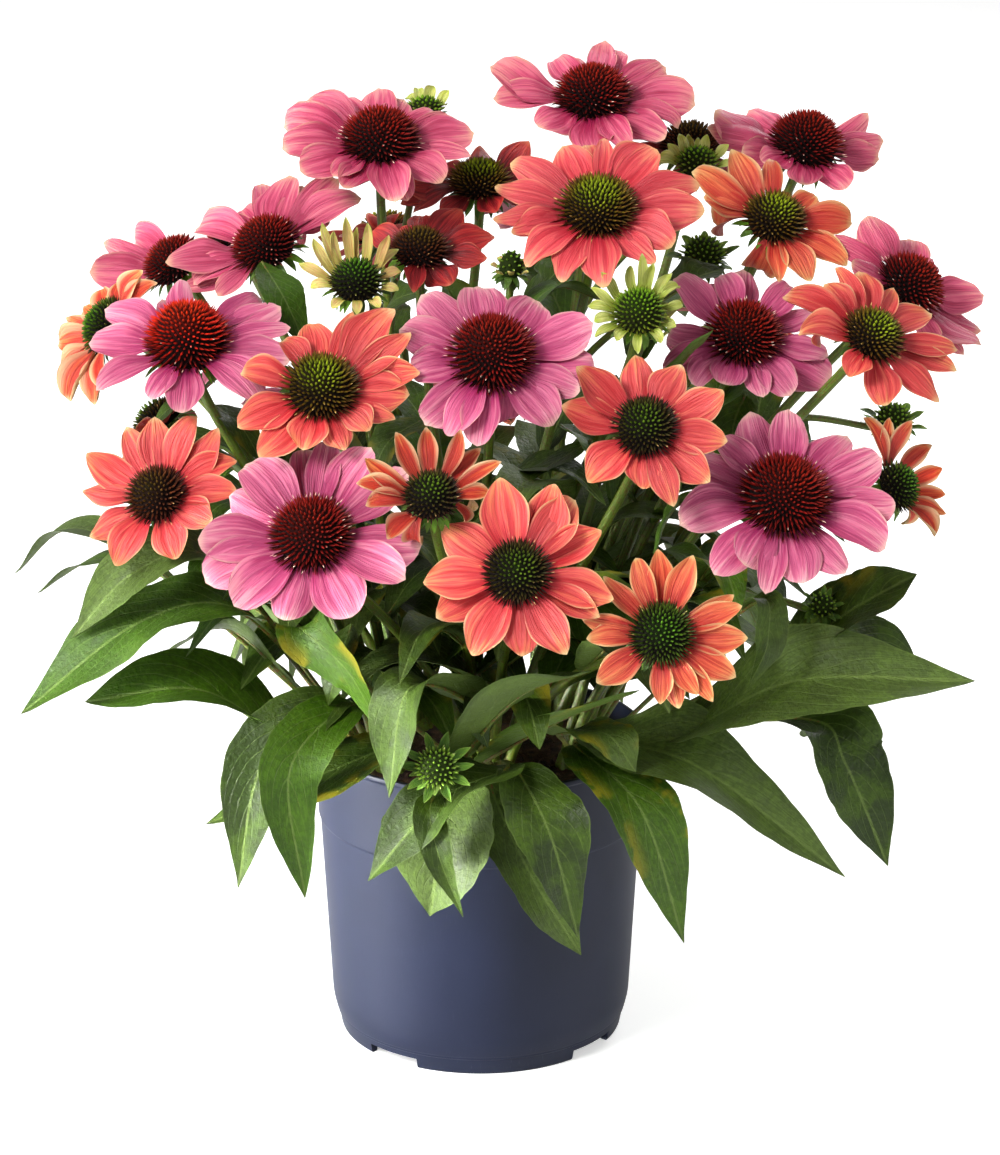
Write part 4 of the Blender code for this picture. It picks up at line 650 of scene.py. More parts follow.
def petal_ring(gathered, head, rows, columns, sink=0.0):
    """The petals of a head, turn about a little higher and lower so that neighbours pass over each other.
    Those in view end where TIPS has them, on an even arc from the cone, and the others stand evenly."""
    draw = np.random.default_rng(SEED * 100 + head.number)
    hub = head.cone_r * (UPRIGHT_HUB if head.rise > UPRIGHT else LEVEL_HUB)
    tips = aimed(head) if head.number in TIPS else [None] * head.petals
    for k, tip in enumerate(tips):
        layer = (-1) ** k
        if tip:
            angle, reach, height, width, turn = tip
            chord, up = math.hypot(reach - hub, height), math.degrees(math.atan2(height, reach - hub))
            bend = 2 * (up - head.rise - LAYER_RISE * layer) + draw.normal(0, 9)
            bend = min(max(bend, LEAST_BEND), MOST_BEND)
            arc = math.radians(max(abs(bend), 1)) / 2
            length, width, rise = chord * arc / math.sin(arc), width * draw.uniform(1.0, 1.1), up - bend / 2
            whim = 1.0
        else:
            angle, turn, whim = (k + draw.normal(0, 0.14)) * 2 * math.pi / head.petals, 0.0, 0.7
            length = (head.spread - hub) * draw.uniform(0.88, 1.05)
            width = head.width * draw.uniform(0.85, 1.12)
            rise = head.rise + LAYER_RISE * layer + draw.normal(0, 3)
            bend = head.bend + draw.normal(0, 9)
        petal(gathered, head, FORMS[head.kind], angle, hub, length, width, rise, bend, draw, rows, columns,
              lift=PETAL_LIFT + LAYER_LIFT * layer, sink=sink, whim=whim, turn=turn)


def bracts(gathered, head, sink=0.0):
    """Two rows of green bracts under a head, which spread and hang their tips."""
    draw = np.random.default_rng(SEED * 200 + head.number)
    count = 11 if head.number in BUDS else 13
    for row in range(2):
        for k in range(count):
            angle = (k + 0.5 * row + draw.normal(0, 0.12)) * 2 * math.pi / count
            length = head.cone_r * draw.uniform(0.42, 0.62) + BRACT_LENGTH
            width, rise = BRACT_WIDTH * draw.uniform(0.8, 1.15), -12 - 22 * row + draw.normal(0, 8)
            petal(gathered, head, BRACT, angle, head.cone_r * (0.62 - 0.10 * row), length, width, rise, -26,
                  draw, 5, 3, lift=-BRACT_DROP * (1 + row), thick=BRACT_THICK, finish=1, sink=sink)


# Cones

def spines(gathered, roots, ways, lengths, widths, place, draw):
    """Four-sided spines: each rises from a square at its root through a square a little narrower at half
    its length to a point, along its own direction."""
    count = len(roots)
    side = unit(np.cross(ways, at(0.31, 0.87, 0.38)))
    across = np.cross(ways, side)
    corner = np.array(((1, 0), (0, 1), (-1, 0), (0, -1)), float)
    ring = corner[None, :, :1] * side[:, None] + corner[None, :, 1:] * across[:, None]
    ring = ring * np.broadcast_to(widths, count)[:, None, None]
    low, half = (roots - ways * SPINE_ROOT)[:, None], (roots + ways * (0.5 * lengths)[:, None])[:, None]
    tips = (roots + ways * lengths[:, None])[:, None]
    points = np.concatenate((low + ring, half + SPINE_KEPT * ring, tips), axis=1)
    base = np.arange(count)[:, None] * 9
    around = ((0, 1), (1, 2), (2, 3), (3, 0))
    quads = np.concatenate([base + np.array((a, b, b + 4, a + 4)) for a, b in around]
                           + [base + np.array((3, 2, 1, 0))])
    triangles = np.concatenate([base + np.array((a + 4, b + 4, 8)) for a, b in around])
    seed, along = draw.random(count)[:, None], np.repeat((0, 0.5, 1.0), (4, 4, 1))[None]
    way, tone = grid_of(place[:, None], along, seed * 40), grid_of(0.0 * along, place[:, None], seed)
    gathered.add(points.reshape(-1, 3), quads, triangles, way.reshape(-1, 3), tone.reshape(-1, 3))


def cone(gathered, head, area, sink=0.0):
    """A dome with spines: the k-th spine stands a golden angle on from the last, at an even share of the
    dome's area from the crown down. Spines lean a little upwards from the dome's normal, and they are
    short on the crown and longest round the edge."""
    draw = np.random.default_rng(SEED * 300 + head.number)
    wide, high = head.cone_r * DOME_SHARE, head.cone_h * DOME_SHARE
    fall, around = np.linspace(0, DOME_FALL, DOME_RINGS + 1)[1:, None], round_trip(DOME_SIDES)
    body = grid_of(wide * np.sin(fall) * np.cos(around), wide * np.sin(fall) * np.sin(around),
                   DOME_FOOT + high * np.cos(fall))
    points, quads, triangles = capped(body, (0, 0, DOME_FOOT + high),
                                      (0, 0, DOME_FOOT + high * math.cos(DOME_BASE_FALL)))
    place = np.minimum(np.linalg.norm(points[:, :2], axis=1) / wide, 1)
    gathered.add(placed(points, head, sink), quads[:, ::-1], triangles[:, ::-1], grid_of(place, 0.0, 0.0),
                 grid_of(0.0, place, 0.5))
    count = int(2 * math.pi * head.cone_r ** 2 / area)
    k = np.arange(count)
    share = (k + 0.5) / count
    fall = np.arccos(1 - share * (1 - math.cos(SPINE_FALL)))[:, None]
    turn = k * GOLDEN_ANGLE
    outward = grid_of(np.cos(turn), np.sin(turn), 0.0)
    roots = outward * wide * np.sin(fall) + UP * (DOME_FOOT + high * np.cos(fall))
    normal = unit(outward * high * np.sin(fall) + UP * wide * np.cos(fall))
    ways = unit(normal + UP * (0.10 + 0.15 * share)[:, None] + draw.normal(0, 0.09, (count, 3)))
    lengths = head.cone_r * (0.17 + 0.19 * smooth(0.05, 0.8, share)) * draw.uniform(0.85, 1.15, count)
    widths = math.sqrt(area) * (0.24 + 0.05 * (1 - share))
    spines(gathered, placed(roots, head, sink), ways @ axes_of(head), lengths, widths, share, draw)


# Stems and leaves

def stem(gathered, head, seed):
    """A stem along its curve, a little thicker at its foot, which widens under the head to its collar."""
    controls = stem_controls(head)
    share = 1 - (1 - np.linspace(0, 1, STEM_RINGS)) ** 1.5
    path = bezier(controls, share)
    if head.number not in SIDE_SHOOTS:
        path = np.concatenate((path[:1] - UP * STEM_ROOT, path))
        share = np.concatenate(((0,), share))
    radius = stem_radius(head)
    left = np.linalg.norm(path - controls[3], axis=1)
    radii = radius * (1.08 - 0.16 * share + 0.25 * smooth(NECK_REACH, 0.005, left))
    radii = radii + (head.cone_r * COLLAR_SHARE - radius) * smooth(COLLAR_REACH, 0.0, left)
    binormal = unit(np.cross(UP, (controls[3] - controls[0]) * (1, 1, 0)) + 1e-9)
    tube(gathered, path, radii, STEM_SIDES, binormal, seed)


def stem_radius(head):
    """The radius of a head's stem."""
    return BUD_STEM_R if head.number in BUDS else STEM_R


def bristles(gathered, head):
    """Short stiff hairs that stand out from the upper part of a stem all round, each a fine spine."""
    draw = np.random.default_rng(SEED * 500 + head.number)
    controls = stem_controls(head)
    share = draw.uniform(0.45, 0.99, BRISTLES)
    along = unit(bezier(controls, share + 0.01) - bezier(controls, share - 0.01))
    side = unit(np.cross(along, at(0.2, 0.9, 0.3)))
    turn = draw.uniform(0, 2 * math.pi, BRISTLES)[:, None]
    out = side * np.cos(turn) + np.cross(along, side) * np.sin(turn)
    roots = bezier(controls, share) + out * stem_radius(head) * 0.95
    spines(gathered, roots, unit(out + along * 0.3), draw.uniform(*BRISTLE_LENGTH, BRISTLES), BRISTLE_WIDTH,
           share, draw)


def blade(gathered, route, start, width, roll, draw, grid, form, stalk=SMALL_STALK, sides=SMALL_STALK_SIDES):
    """A leaf along a route of points. Its half width is u to the first power of its form times what is
    left to the tip to the second, with shallow teeth. Across, it is a soft V whose edges wave, puckered
    between veins that run forward from the rib. The stalk goes on under the blade as its rib."""
    u, s = np.linspace(0, 1, grid[0])[:, None], np.linspace(-1, 1, grid[1])[None]
    out = unit((route[-1] - route[0]) * (1, 1, 0))
    level = np.cross(UP, out)

    def frame_along(share):
        """Points of the route, with the blade's own across and above there, rolled by the share passed."""
        centre = through(route, share)
        along = unit(through(route, share + 0.02) - through(route, share - 0.02))
        across = unit(level - along * (along @ level)[:, None])
        turn = (np.radians(roll) * share)[:, None]
        across = across * np.cos(turn) + np.cross(along, across) * np.sin(turn)
        return centre, across, np.cross(along, across)

    centre, across, above = frame_along(start + (1 - start) * u[:, 0])
    rise, fall = form
    peak = rise / (rise + fall)
    outline = u ** rise * (1 - u) ** fall / (peak ** rise * (1 - peak) ** fall)
    teeth = 1 + TOOTH_DEPTH * (np.abs(np.sin(math.pi * (TEETH * u + draw.random()))) - 0.5) * np.abs(s) ** 5
    half = width / 2 * outline + np.maximum(stalk * 0.9 * (1 - u), BLADE_EDGE)
    seed = draw.uniform(0, 40)
    fold = 0.22 * draw.uniform(0.5, 2.2)
    height, waves = draw.uniform(0.07, 0.20), draw.uniform(1.4, 2.4)
    phase, lag = draw.random(), draw.uniform(0.8, 2.4)
    wave = height * s ** 2 * np.sin(2 * math.pi * (waves * u + phase) + lag * np.sign(s))
    veins = np.cos(2 * math.pi * VEIN_PAIRS * (u - VEIN_FORWARD * np.abs(s)))
    pucker = PUCKER * veins * np.abs(s) * (1 - s ** 2)
    high = half * (fold * (np.sqrt(s ** 2 + 0.02) - 0.14) + wave + pucker)
    points = (centre[:, None] + (half * s * teeth)[..., None] * across[:, None]
              + high[..., None] * above[:, None])
    both_faces(gathered, points, BLADE_THICK, grid_of(s, u, seed),
               grid_of(0.0, np.abs(s) * half / (width / 2), draw.random()))
    share = np.linspace(0, start + (1 - start) * RIB_REACH, STALK_RINGS if start else RIB_RINGS)
    centre, across, above = frame_along(share)
    along_blade = np.clip((share - start) / (1 - start), 0, 1)
    radii = stalk * (1 - 0.82 * smooth(0, 0.75, along_blade))
    drop = radii * 0.75 * smooth(0.0, 0.25, along_blade) + 0.0003 * (along_blade > 0)
    tube(gathered, centre - above * drop[:, None], radii, sides, level, seed, finish=1)


def back_leaf(k, clump, azimuth):
    """A leaf of the skirt at the back: it rises to its crown and hangs its tip, lower the further back."""
    out = direction(azimuth)
    crown, low = BACK_CROWN[k % 3], BACK_TIP_HEIGHT + SIDE_TIP_RISE * (1 - out[1])
    places = [out * (BACK_REACH[k % 3] * share) + UP * height
              for share, height in zip(BACK_SHARES, (crown - BACK_START_DROP, crown, low))]
    return Leaf(clump, *places, BACK_WIDTH[k % 3], BACK_ROLL * (-1) ** k)


def skirt_route(leaf):
    """Out of the rootstock's side, over the pot's rim, and along the blade."""
    x, y = CLUMPS[leaf.clump]
    towards = unit(at(leaf.start[0] - x, leaf.start[1] - y, 0))
    foot = at(x, y, STALK_FOOT) + towards * STALK_RING_R
    ways = [foot + (leaf.start - foot) * share for share in RIM_SHARES]
    over = next((p for p in ways if math.hypot(p[0], p[1]) > RIM_INSIDE * RIM_R), ways[-1]).copy()
    over[2] = max(over[2], POT_HEIGHT + RIM_CLEARANCE)
    return np.array((foot, over, leaf.start, leaf.middle, leaf.tip))


def skirt_leaves(gathered, clump):
    """The leaves that hang over the pot's rim from one rootstock, those in view and those at the back."""
    at_back = [back_leaf(k, *place) for k, place in enumerate(BACK_LEAVES)]
    for seeds, leaves in ((700, LEAVES), (800, at_back)):
        for k, leaf in enumerate(leaves):
            if leaf.clump == clump:
                draw = np.random.default_rng(SEED * seeds + k)
                blade(gathered, skirt_route(leaf), BLADE_START, leaf.width, leaf.roll, draw, SKIRT_GRID,
                      (draw.uniform(0.85, 1.15), draw.uniform(1.0, 1.25)), LEAF_STALK / 2, 8)


def stem_leaves(gathered, clump):
    """The leaves on one rootstock's stems: the small ones in view, the large ones of the solids, and four
    on every stem, which fill the inside of the plant."""
    draw = np.random.default_rng(SEED + 1)
    for leaf in SMALL_LEAVES:
        if leaf.clump == clump:
            blade(gathered, np.array((leaf.start, leaf.middle, leaf.tip)), 0.0, leaf.width, leaf.roll, draw,
                  SMALL_GRID, (0.85, 1.1))
    owners = {head.number: head for head in HEADS}
    for (number, turn), (share, length) in zip(STEM_LEAVES, STEM_LEAF_SIZES):
        if owners[number].clump == clump:
            arched_leaf(gathered, owners[number], share, turn, length, LARGE_WIDTH, draw, LARGE_GRID)
    for head in HEADS:
        if head.clump == clump and head.number not in BUDS:
            for low in FILL_PLACES:
                arched_leaf(gathered, head, draw.uniform(low, low + FILL_STRETCH), draw.normal(0, 90),
                            draw.uniform(*FILL_LENGTH), FILL_WIDTH, draw, FILL_GRID)


def arched_leaf(gathered, head, share, turn, length, width_share, draw, grid):
    """A leaf that rises from its stem, arches over and hangs its tip."""
    base = bezier(stem_controls(head), share)
    out = direction(math.degrees(math.atan2(head.place[0], -head.place[1])) + turn)
    route = np.array([base + (out * along + UP * above) * length for along, above in STEM_LEAF_ROUTE])
    roll, form = draw.normal(0, 12), (draw.uniform(0.7, 0.9), draw.uniform(0.9, 1.15))
    blade(gathered, route, 0.0, length * width_share, roll, draw, grid, form)


def rootstock(gathered, clump):
    """A rootstock: a round post, lumpy with old leaf bases, whose radius falls off over its crown."""
    x, y = CLUMPS[clump]
    turn, height = round_trip(ROOT_SIDES), np.linspace(0, 1, ROOT_RINGS)[:, None]
    radius = ROOT_R * (0.90 + 0.05 * np.cos(5 * turn + 6 * height) + 0.04 * np.cos(9 * turn + 2)) \
        * np.sqrt(np.clip(1.02 - height ** 6, 0, 1))
    low, top = SOIL_TOP - ROOT_DEPTH, ROOT_TOP + 0.001
    body = grid_of(x + radius * np.cos(turn), y + radius * np.sin(turn), low + height * (top - low))
    gathered.add(*capped(body, (x, y, low), (x, y, top)), (0.5, 0.1, 3.0), (0, 0, 0.3))


# The pot and the soil

def inner_radius(z):
    """Radius of the pot's bore at height z."""
    share = (z - WALL_BOTTOM) / (POT_HEIGHT - WALL_BOTTOM)
    return WALL_BOTTOM_R - WALL + share * (RIM_R - LIP - WALL_BOTTOM_R)


def eased(corners):
    """An outline with its corners rounded: (radius, height, ease) becomes four points of an arc whose
    ends lie ease away from the corner."""
    flat = np.array([corner[:2] for corner in corners])
    made = [flat[:1]]
    for k in range(1, len(corners) - 1):
        ease = corners[k][2]
        before, after = flat[k - 1] - flat[k], flat[k + 1] - flat[k]
        ease = min(ease, 0.45 * np.linalg.norm(before), 0.45 * np.linalg.norm(after))
        a, c = flat[k] + unit(before) * ease, flat[k] + unit(after) * ease
        t = np.linspace(0, 1, 4)[:, None]
        made.append(a * (1 - t) ** 2 + flat[k] * 2 * t * (1 - t) + c * t ** 2)
    made.append(flat[-1:])
    return np.concatenate(made)


def turned(profile, sides):
    """An outline of (radius, height) turned about the Z axis. It begins and ends on the axis."""
    turn, radius = round_trip(sides), profile[1:-1, :1]
    return capped(grid_of(radius * np.cos(turn), radius * np.sin(turn), profile[1:-1, 1:]),
                  (0, 0, profile[0, 1]), (0, 0, profile[-1, 1]))


def pot(finish):
    """The pot: its outline turned, less a box for each notch of its foot and a round hole for each drain."""
    foot_inner = FOOT_R - FOOT_WIDTH
    profile = eased((
        (0.0, FLOOR_UNDER, 0), (foot_inner, FLOOR_UNDER, 0.0005), (foot_inner, 0.0, 0.0006),
        (FOOT_R, 0.0, 0.0012), (FOOT_TOP_R, FOOT_TOP, 0.0004), (FOOT_TOP_R + LIP, FOOT_TOP + LIP, 0.0012),
        (WALL_BOTTOM_R, WALL_BOTTOM, 0.006), (WALL_TOP_R, COLLAR_BOTTOM - COLLAR_STEP, 0.0006),
        (RIM_R - COLLAR_STEP, COLLAR_BOTTOM, 0.0007), (RIM_R - LIP, POT_HEIGHT - 4 * LIP, 0.0005),
        (RIM_R, POT_HEIGHT - 3 * LIP, 0.0005), (RIM_R, POT_HEIGHT, 0.0007),
        (inner_radius(POT_HEIGHT), POT_HEIGHT, 0.0006), (inner_radius(FLOOR_TOP), FLOOR_TOP, 0.001),
        (0.0, FLOOR_TOP, 0)))
    gathered = Gathered()
    gathered.add(*turned(profile, POT_SIDES), (0.5, 0.5, 0), (0, 0, 0.5))
    made = gathered.piece("pot_shell", (finish,), "pot_plastic", ("pot",), 32)
    cutters = []
    for azimuth in NOTCH_AZIMUTHS:
        corners = np.array([(x, y, z) for x in (-0.5, 0.5) for y in (-0.5, 0.5) for z in (-0.5, 0.5)])
        outward, across = direction(azimuth), direction(azimuth + 90)
        box = (corners * (NOTCH_WIDTH, 4 * FOOT_WIDTH, 2 * NOTCH_HEIGHT)) @ np.array((across, -outward, UP))
        faces = [(0, 1, 3, 2), (4, 6, 7, 5), (0, 4, 5, 1), (2, 3, 7, 6), (0, 2, 6, 4), (1, 5, 7, 3)]
        cutters.append((box + outward * FOOT_R, faces))
        turn, sides = round_trip(DRAIN_SIDES)[0], DRAIN_SIDES
        ring = grid_of(DRAIN_R * np.cos(turn), DRAIN_R * np.sin(turn), 0.0) + outward * DRAIN_RING_R
        drain = np.concatenate((ring + UP * FLOOR_UNDER / 2, ring + UP * 2 * FLOOR_TOP))
        faces = [tuple(range(sides - 1, -1, -1)), tuple(range(sides, 2 * sides))]
        faces += [(j, (j + 1) % sides, sides + (j + 1) % sides, sides + j) for j in range(sides)]
        cutters.append((drain, faces))
    for points, faces in cutters:
        mesh = bpy.data.meshes.new("cutter")
        mesh.from_pydata(points.tolist(), [], faces)
        cutter = new_object("cutter", mesh)
        take = made.modifiers.new("Cut", "BOOLEAN")
        take.operation, take.object = "DIFFERENCE", cutter
        bpy.context.view_layer.update()
        whole = bpy.data.meshes.new_from_object(made.evaluated_get(bpy.context.evaluated_depsgraph_get()))
        made.modifiers.clear()
        made.data = whole
        bpy.data.objects.remove(cutter)
    made.data.name = "pot_shell"
    return made


def lumps(x, y, size, draw):
    """Smooth lumps about size across, -1 to 1: random heights on a lattice with an S between them."""
    lattice = draw.uniform(-1, 1, (LATTICE, LATTICE))
    u, v = x / size + 20.3, y / size + 20.7
    i, j = np.floor(u).astype(int), np.floor(v).astype(int)
    a, b = smooth(0, 1, u - i), smooth(0, 1, v - j)
    i, j = i % (LATTICE - 1), j % (LATTICE - 1)
    return ((lattice[i, j] * (1 - a) + lattice[i + 1, j] * a) * (1 - b)
            + (lattice[i, j + 1] * (1 - a) + lattice[i + 1, j + 1] * a) * b)


def soil(finish):
    """Soil: a plug that fills the pot, its top raised by lumps of three sizes, with loose crumbs on it.
    A crumb is six points, one on each half axis, at random distances."""
    draw = np.random.default_rng(SEED)
    edge, floor_z = inner_radius(SOIL_TOP) - GAP, FLOOR_TOP + GAP
    radii = edge * np.linspace(1, 1 / SOIL_RINGS, SOIL_RINGS)
    profile = np.concatenate((((0, floor_z), (inner_radius(floor_z) - GAP, floor_z)),
                              np.stack((radii, np.full(SOIL_RINGS, SOIL_TOP)), axis=-1), ((0, SOIL_TOP),)))
    points, quads, triangles = turned(profile, SOIL_SIDES)
    x, y = points[:, 0], points[:, 1]
    relief = sum(height * lumps(x, y, size, draw) for height, size in SOIL_LUMPS)
    top = points[:, 2] > SOIL_TOP - 1e-6
    points[:, 2] += np.where(top, relief * smooth(0, 0.003, edge - np.hypot(x, y) + 0.001), 0)
    gathered = Gathered()
    gathered.add(points, quads, triangles, (0.5, 0.5, 0), (0, 0, 0.5))
    turn, reach = draw.uniform(0, 2 * np.pi, CRUMBS), (edge - 0.004) * np.sqrt(draw.random(CRUMBS))
    centre = grid_of(reach * np.cos(turn), reach * np.sin(turn), SOIL_TOP + CRUMB_HEIGHT)
    axes = np.array(((1, 0, 0), (0, 1, 0), (-1, 0, 0), (0, -1, 0), (0, 0, 1), (0, 0, -1)), float)
    size = draw.uniform(*CRUMB_SIZE, (CRUMBS, 1, 1)) * draw.uniform(0.6, 1.2, (CRUMBS, 6, 1))
    body = centre[:, None] + axes * size * (1, 1, 0.7)
    eight = np.array([face for j in range(4) for face in ((j, (j + 1) % 4, 4), ((j + 1) % 4, j, 5))])
    faces = (np.arange(CRUMBS)[:, None, None] * 6 + eight).reshape(-1, 3)
    gathered.add(body.reshape(-1, 3), NO_QUADS, faces, (0.5, 0.5, 0),
                 grid_of(0.0, 0.0, np.repeat(draw.random(CRUMBS), 6)))
    return gathered.piece("soil_plug", (finish,), "soil", ("soil",), 60)


# Finishes

def paint(red, green, blue):
    """A colour given as 0 to 255 on a screen, as the light that it stands for."""
    values = np.array((red, green, blue)) / 255
    linear = np.where(values <= 0.04045, values / 12.92, ((values + 0.055) / 1.055) ** 2.4)
    return (*linear.tolist(), 1.0)


def fed(tree, node, inputs):
    """Gives a node its inputs: each is a plain value or another node's output."""
    for key, value in inputs.items():
        if isinstance(value, bpy.types.NodeSocket):
            tree.links.new(value, node.inputs[key])
        else:
            node.inputs[key].default_value = value
    return node


def put(tree, kind, inputs=None, **settings):
    """Adds a node with its settings and its inputs."""
    made = tree.nodes.new("ShaderNode" + kind)
    for name, value in settings.items():
        setattr(made, name, value)
    return fed(tree, made, inputs or {})


def maths(tree, operation, a, b=0.0):
    """One step of arithmetic."""
    return put(tree, "Math", {0: a, 1: b}, operation=operation).outputs[0]


def times(tree, a, b):
    """One value times another."""
    return maths(tree, "MULTIPLY", a, b)


def plus(tree, a, b):
    """One value plus another."""
    return maths(tree, "ADD", a, b)


def less(tree, a, b):
    """One value less another."""
    return maths(tree, "SUBTRACT", a, b)


def ramped(tree, value, low, high, first=0.0, last=1.0):
    """A value carried smoothly from first, at low, to last, at high."""
    return put(tree, "MapRange", {"Value": value, "From Min": low, "From Max": high, "To Min": first,
                                  "To Max": last}, interpolation_type="SMOOTHSTEP").outputs[0]


def blended(tree, share, a, b, how="MIX"):
    """Two colours mixed by a share."""
    return put(tree, "Mix", {0: share, 6: a, 7: b}, data_type="RGBA", blend_type=how).outputs[2]


def noise(tree, where, scale, detail=2.0):
    """Smooth noise, from 0 to 1."""
    return put(tree, "TexNoise", {"Vector": where, "Scale": scale, "Detail": detail}).outputs["Fac"]


def vector(tree, x, y, z):
    """Three values as one vector."""
    return put(tree, "CombineXYZ", {"X": x, "Y": y, "Z": z}).outputs[0]


def use(tree, shared, **inputs):
    """Places a node group with its inputs, and gives its outputs."""
    return put(tree, "Group", inputs, node_tree=shared).outputs


def group(name, inputs, outputs, build):
    """A node group with named sockets: build gets its tree and its inputs, and returns its outputs."""
    tree = bpy.data.node_groups.new(name, "ShaderNodeTree")
    for label, kind, value in inputs:
        socket = tree.interface.new_socket(label, in_out="INPUT", socket_type="NodeSocket" + kind)
        if value is not None:
            socket.default_value = value
    for label in outputs:
        tree.interface.new_socket(label, in_out="OUTPUT", socket_type="NodeSocketFloat")
    given, result = tree.nodes.new("NodeGroupInput"), tree.nodes.new("NodeGroupOutput")
    fed(tree, result, dict(zip(outputs, build(tree, given.outputs))))
    return tree


def build_streaks(tree, given):
    """Streaks that run along a petal or a stem: noise on its own coordinates, close across and long
    along it, once broad and once fine."""
    where = vector(tree, times(tree, given["Across"], given["Count"]), given["Along"], given["Seed"])
    broad, fine = noise(tree, where, 1.0, 1.0), noise(tree, where, 3.1)
    return (ramped(tree, plus(tree, times(tree, broad, 0.6), times(tree, fine, 0.4)), 0.32, 0.68),)


def build_mottle(tree, given):
    """Cloudy patches over a whole piece, as wide as the scale makes them."""
    return (ramped(tree, noise(tree, given["Place"], given["Scale"], 3.0), 0.36, 0.64),)


def build_leaf_veins(tree, given):
    """The veins of a leaf: its rib, veins that run forward from the rib in a curve, and a net between
    them. Each is a mask, 1 on the vein."""
    side = maths(tree, "ABSOLUTE", given["Across"])
    rib = ramped(tree, given["From_rib"], 0.055, 0.012)
    wander = noise(tree, vector(tree, given["Across"], given["Along"], given["Seed"]), 2.5)
    phase = less(tree, given["Along"], times(tree, maths(tree, "POWER", side, 1.4), VEIN_FORWARD))
    phase = plus(tree, phase, times(tree, wander, 0.05))
    off = maths(tree, "PINGPONG", times(tree, phase, float(VEIN_PAIRS)), 0.5)
    vein = times(tree, ramped(tree, off, 0.075, 0.012), ramped(tree, side, 1.0, 0.7))
    where = vector(tree, times(tree, given["From_rib"], 9.0), times(tree, phase, 26.0),
                   plus(tree, given["Seed"], maths(tree, "SIGN", given["Across"])))
    net = put(tree, "TexVoronoi", {"Vector": where, "Scale": 1.0}, feature="DISTANCE_TO_EDGE")
    return rib, vein, ramped(tree, net.outputs["Distance"], 0.16, 0.02)


PLACE_ON_PART = (("Across", "Float", 0.0), ("Along", "Float", 0.0), ("Seed", "Float", 0.0))
STREAKS = group("streaks along", (*PLACE_ON_PART, ("Count", "Float", 5.0)), ("Streak",), build_streaks)
MOTTLE = group("cloudy patches", (("Place", "Vector", None), ("Scale", "Float", 40.0)), ("Patch",),
               build_mottle)
LEAF_VEINS = group("leaf veins", (*PLACE_ON_PART, ("From_rib", "Float", 0.0)), ("Rib", "Vein", "Net"),
                   build_leaf_veins)


def started(name):
    """A new finish: its tree, its shader, and its points' way and tone split into their values."""
    made = bpy.data.materials.new(name)
    made.use_nodes = True
    tree = made.node_tree
    read = [put(tree, "Attribute", attribute_name=label).outputs["Vector"] for label in ("way", "tone")]
    way, tone = (put(tree, "SeparateXYZ", {0: values}).outputs for values in read)
    return made, tree, tree.nodes["Principled BSDF"], way, tone


def joined(tree, shader, colour, roughness, height, depth, strength, **more):
    """Joins a colour, a roughness, a height, whose full depth is given in metres, and more to the shader."""
    bump = put(tree, "Bump", {"Strength": strength, "Distance": depth, "Height": height}).outputs[0]
    more = {key.replace("_", " "): value for key, value in more.items()}
    fed(tree, shader, {"Base Color": colour, "Roughness": roughness, "Normal": bump, **more})


def dimmed(tree, colour, factor):
    """A colour times a factor."""
    grey = put(tree, "CombineColor", {0: factor, 1: factor, 2: factor}).outputs[0]
    return blended(tree, 1.0, colour, grey, "MULTIPLY")


def place_of(tree):
    """Where a point of a finish is, in metres."""
    return put(tree, "TexCoord").outputs["Object"]


def petal_finish(name, root, middle, tip, stripe_and_groove_shade, edge, under, edge_reach, edge_from):
    """A petal's skin: its colour runs from root to tip, with darker stripes along it, painted shade in its
    two grooves, a pale line along its edges, and another colour underneath."""
    made, tree, shader, way, tone = started(name)
    streak = use(tree, STREAKS, Across=way[0], Along=way[1], Seed=way[2], Count=5.0)[0]
    line = use(tree, STREAKS, Across=way[0], Along=times(tree, way[1], 0.5), Seed=plus(tree, way[2], 7.0),
               Count=17.0)[0]
    along = plus(tree, way[1], times(tree, less(tree, streak, 0.5), 0.34))
    side = maths(tree, "ABSOLUTE", way[0])
    colour = blended(tree, ramped(tree, along, 0.06, 0.66), root, middle)
    colour = blended(tree, ramped(tree, along, 0.62, 1.04), colour, tip)
    colour = blended(tree, ramped(tree, streak, 0.60, 1.0, 0.0, 0.25), colour, tip)
    dark = times(tree, ramped(tree, streak, 0.50, 0.0), ramped(tree, way[1], 1.0, 0.35, 0.15, 0.60))
    fine = times(tree, ramped(tree, line, 0.5, 0.05), ramped(tree, way[1], 1.0, 0.5, 0.20, 0.55))
    # Painted shade: the two grooves are darkened towards the stripe colour, as if shade fell in them.
    off = maths(tree, "ABSOLUTE", less(tree, side, GROOVE_PLACE))
    groove = times(tree, ramped(tree, off, 0.09, 0.0), ramped(tree, way[1], 1.0, 0.5, 0.15, 0.6))
    for mask in (dark, fine, groove):
        colour = blended(tree, mask, colour, stripe_and_groove_shade)
    rim = times(tree, ramped(tree, side, edge_from, 1.0), ramped(tree, way[1], edge_reach, 1.0, 0.0, 0.9))
    end = ramped(tree, plus(tree, way[1], times(tree, tone[2], 0.07)), 0.92, 1.05, 0.0, 0.85)
    colour = blended(tree, maths(tree, "MAXIMUM", rim, end), colour, edge)
    colour = blended(tree, times(tree, tone[0], 0.8), colour, under)
    colour = blended(tree, ramped(tree, tone[2], 0.75, 1.0, 0.0, 0.35), colour, stripe_and_groove_shade)
    colour = dimmed(tree, colour, ramped(tree, tone[2], 0.0, 0.7, 1.02, 0.82))
    joined(tree, shader, colour, 0.5, plus(tree, streak, times(tree, line, 0.35)), 0.0006, 0.8,
           Subsurface_Weight=0.08, Subsurface_Radius=(1.0, 0.4, 0.3), Subsurface_Scale=0.002)
    return made


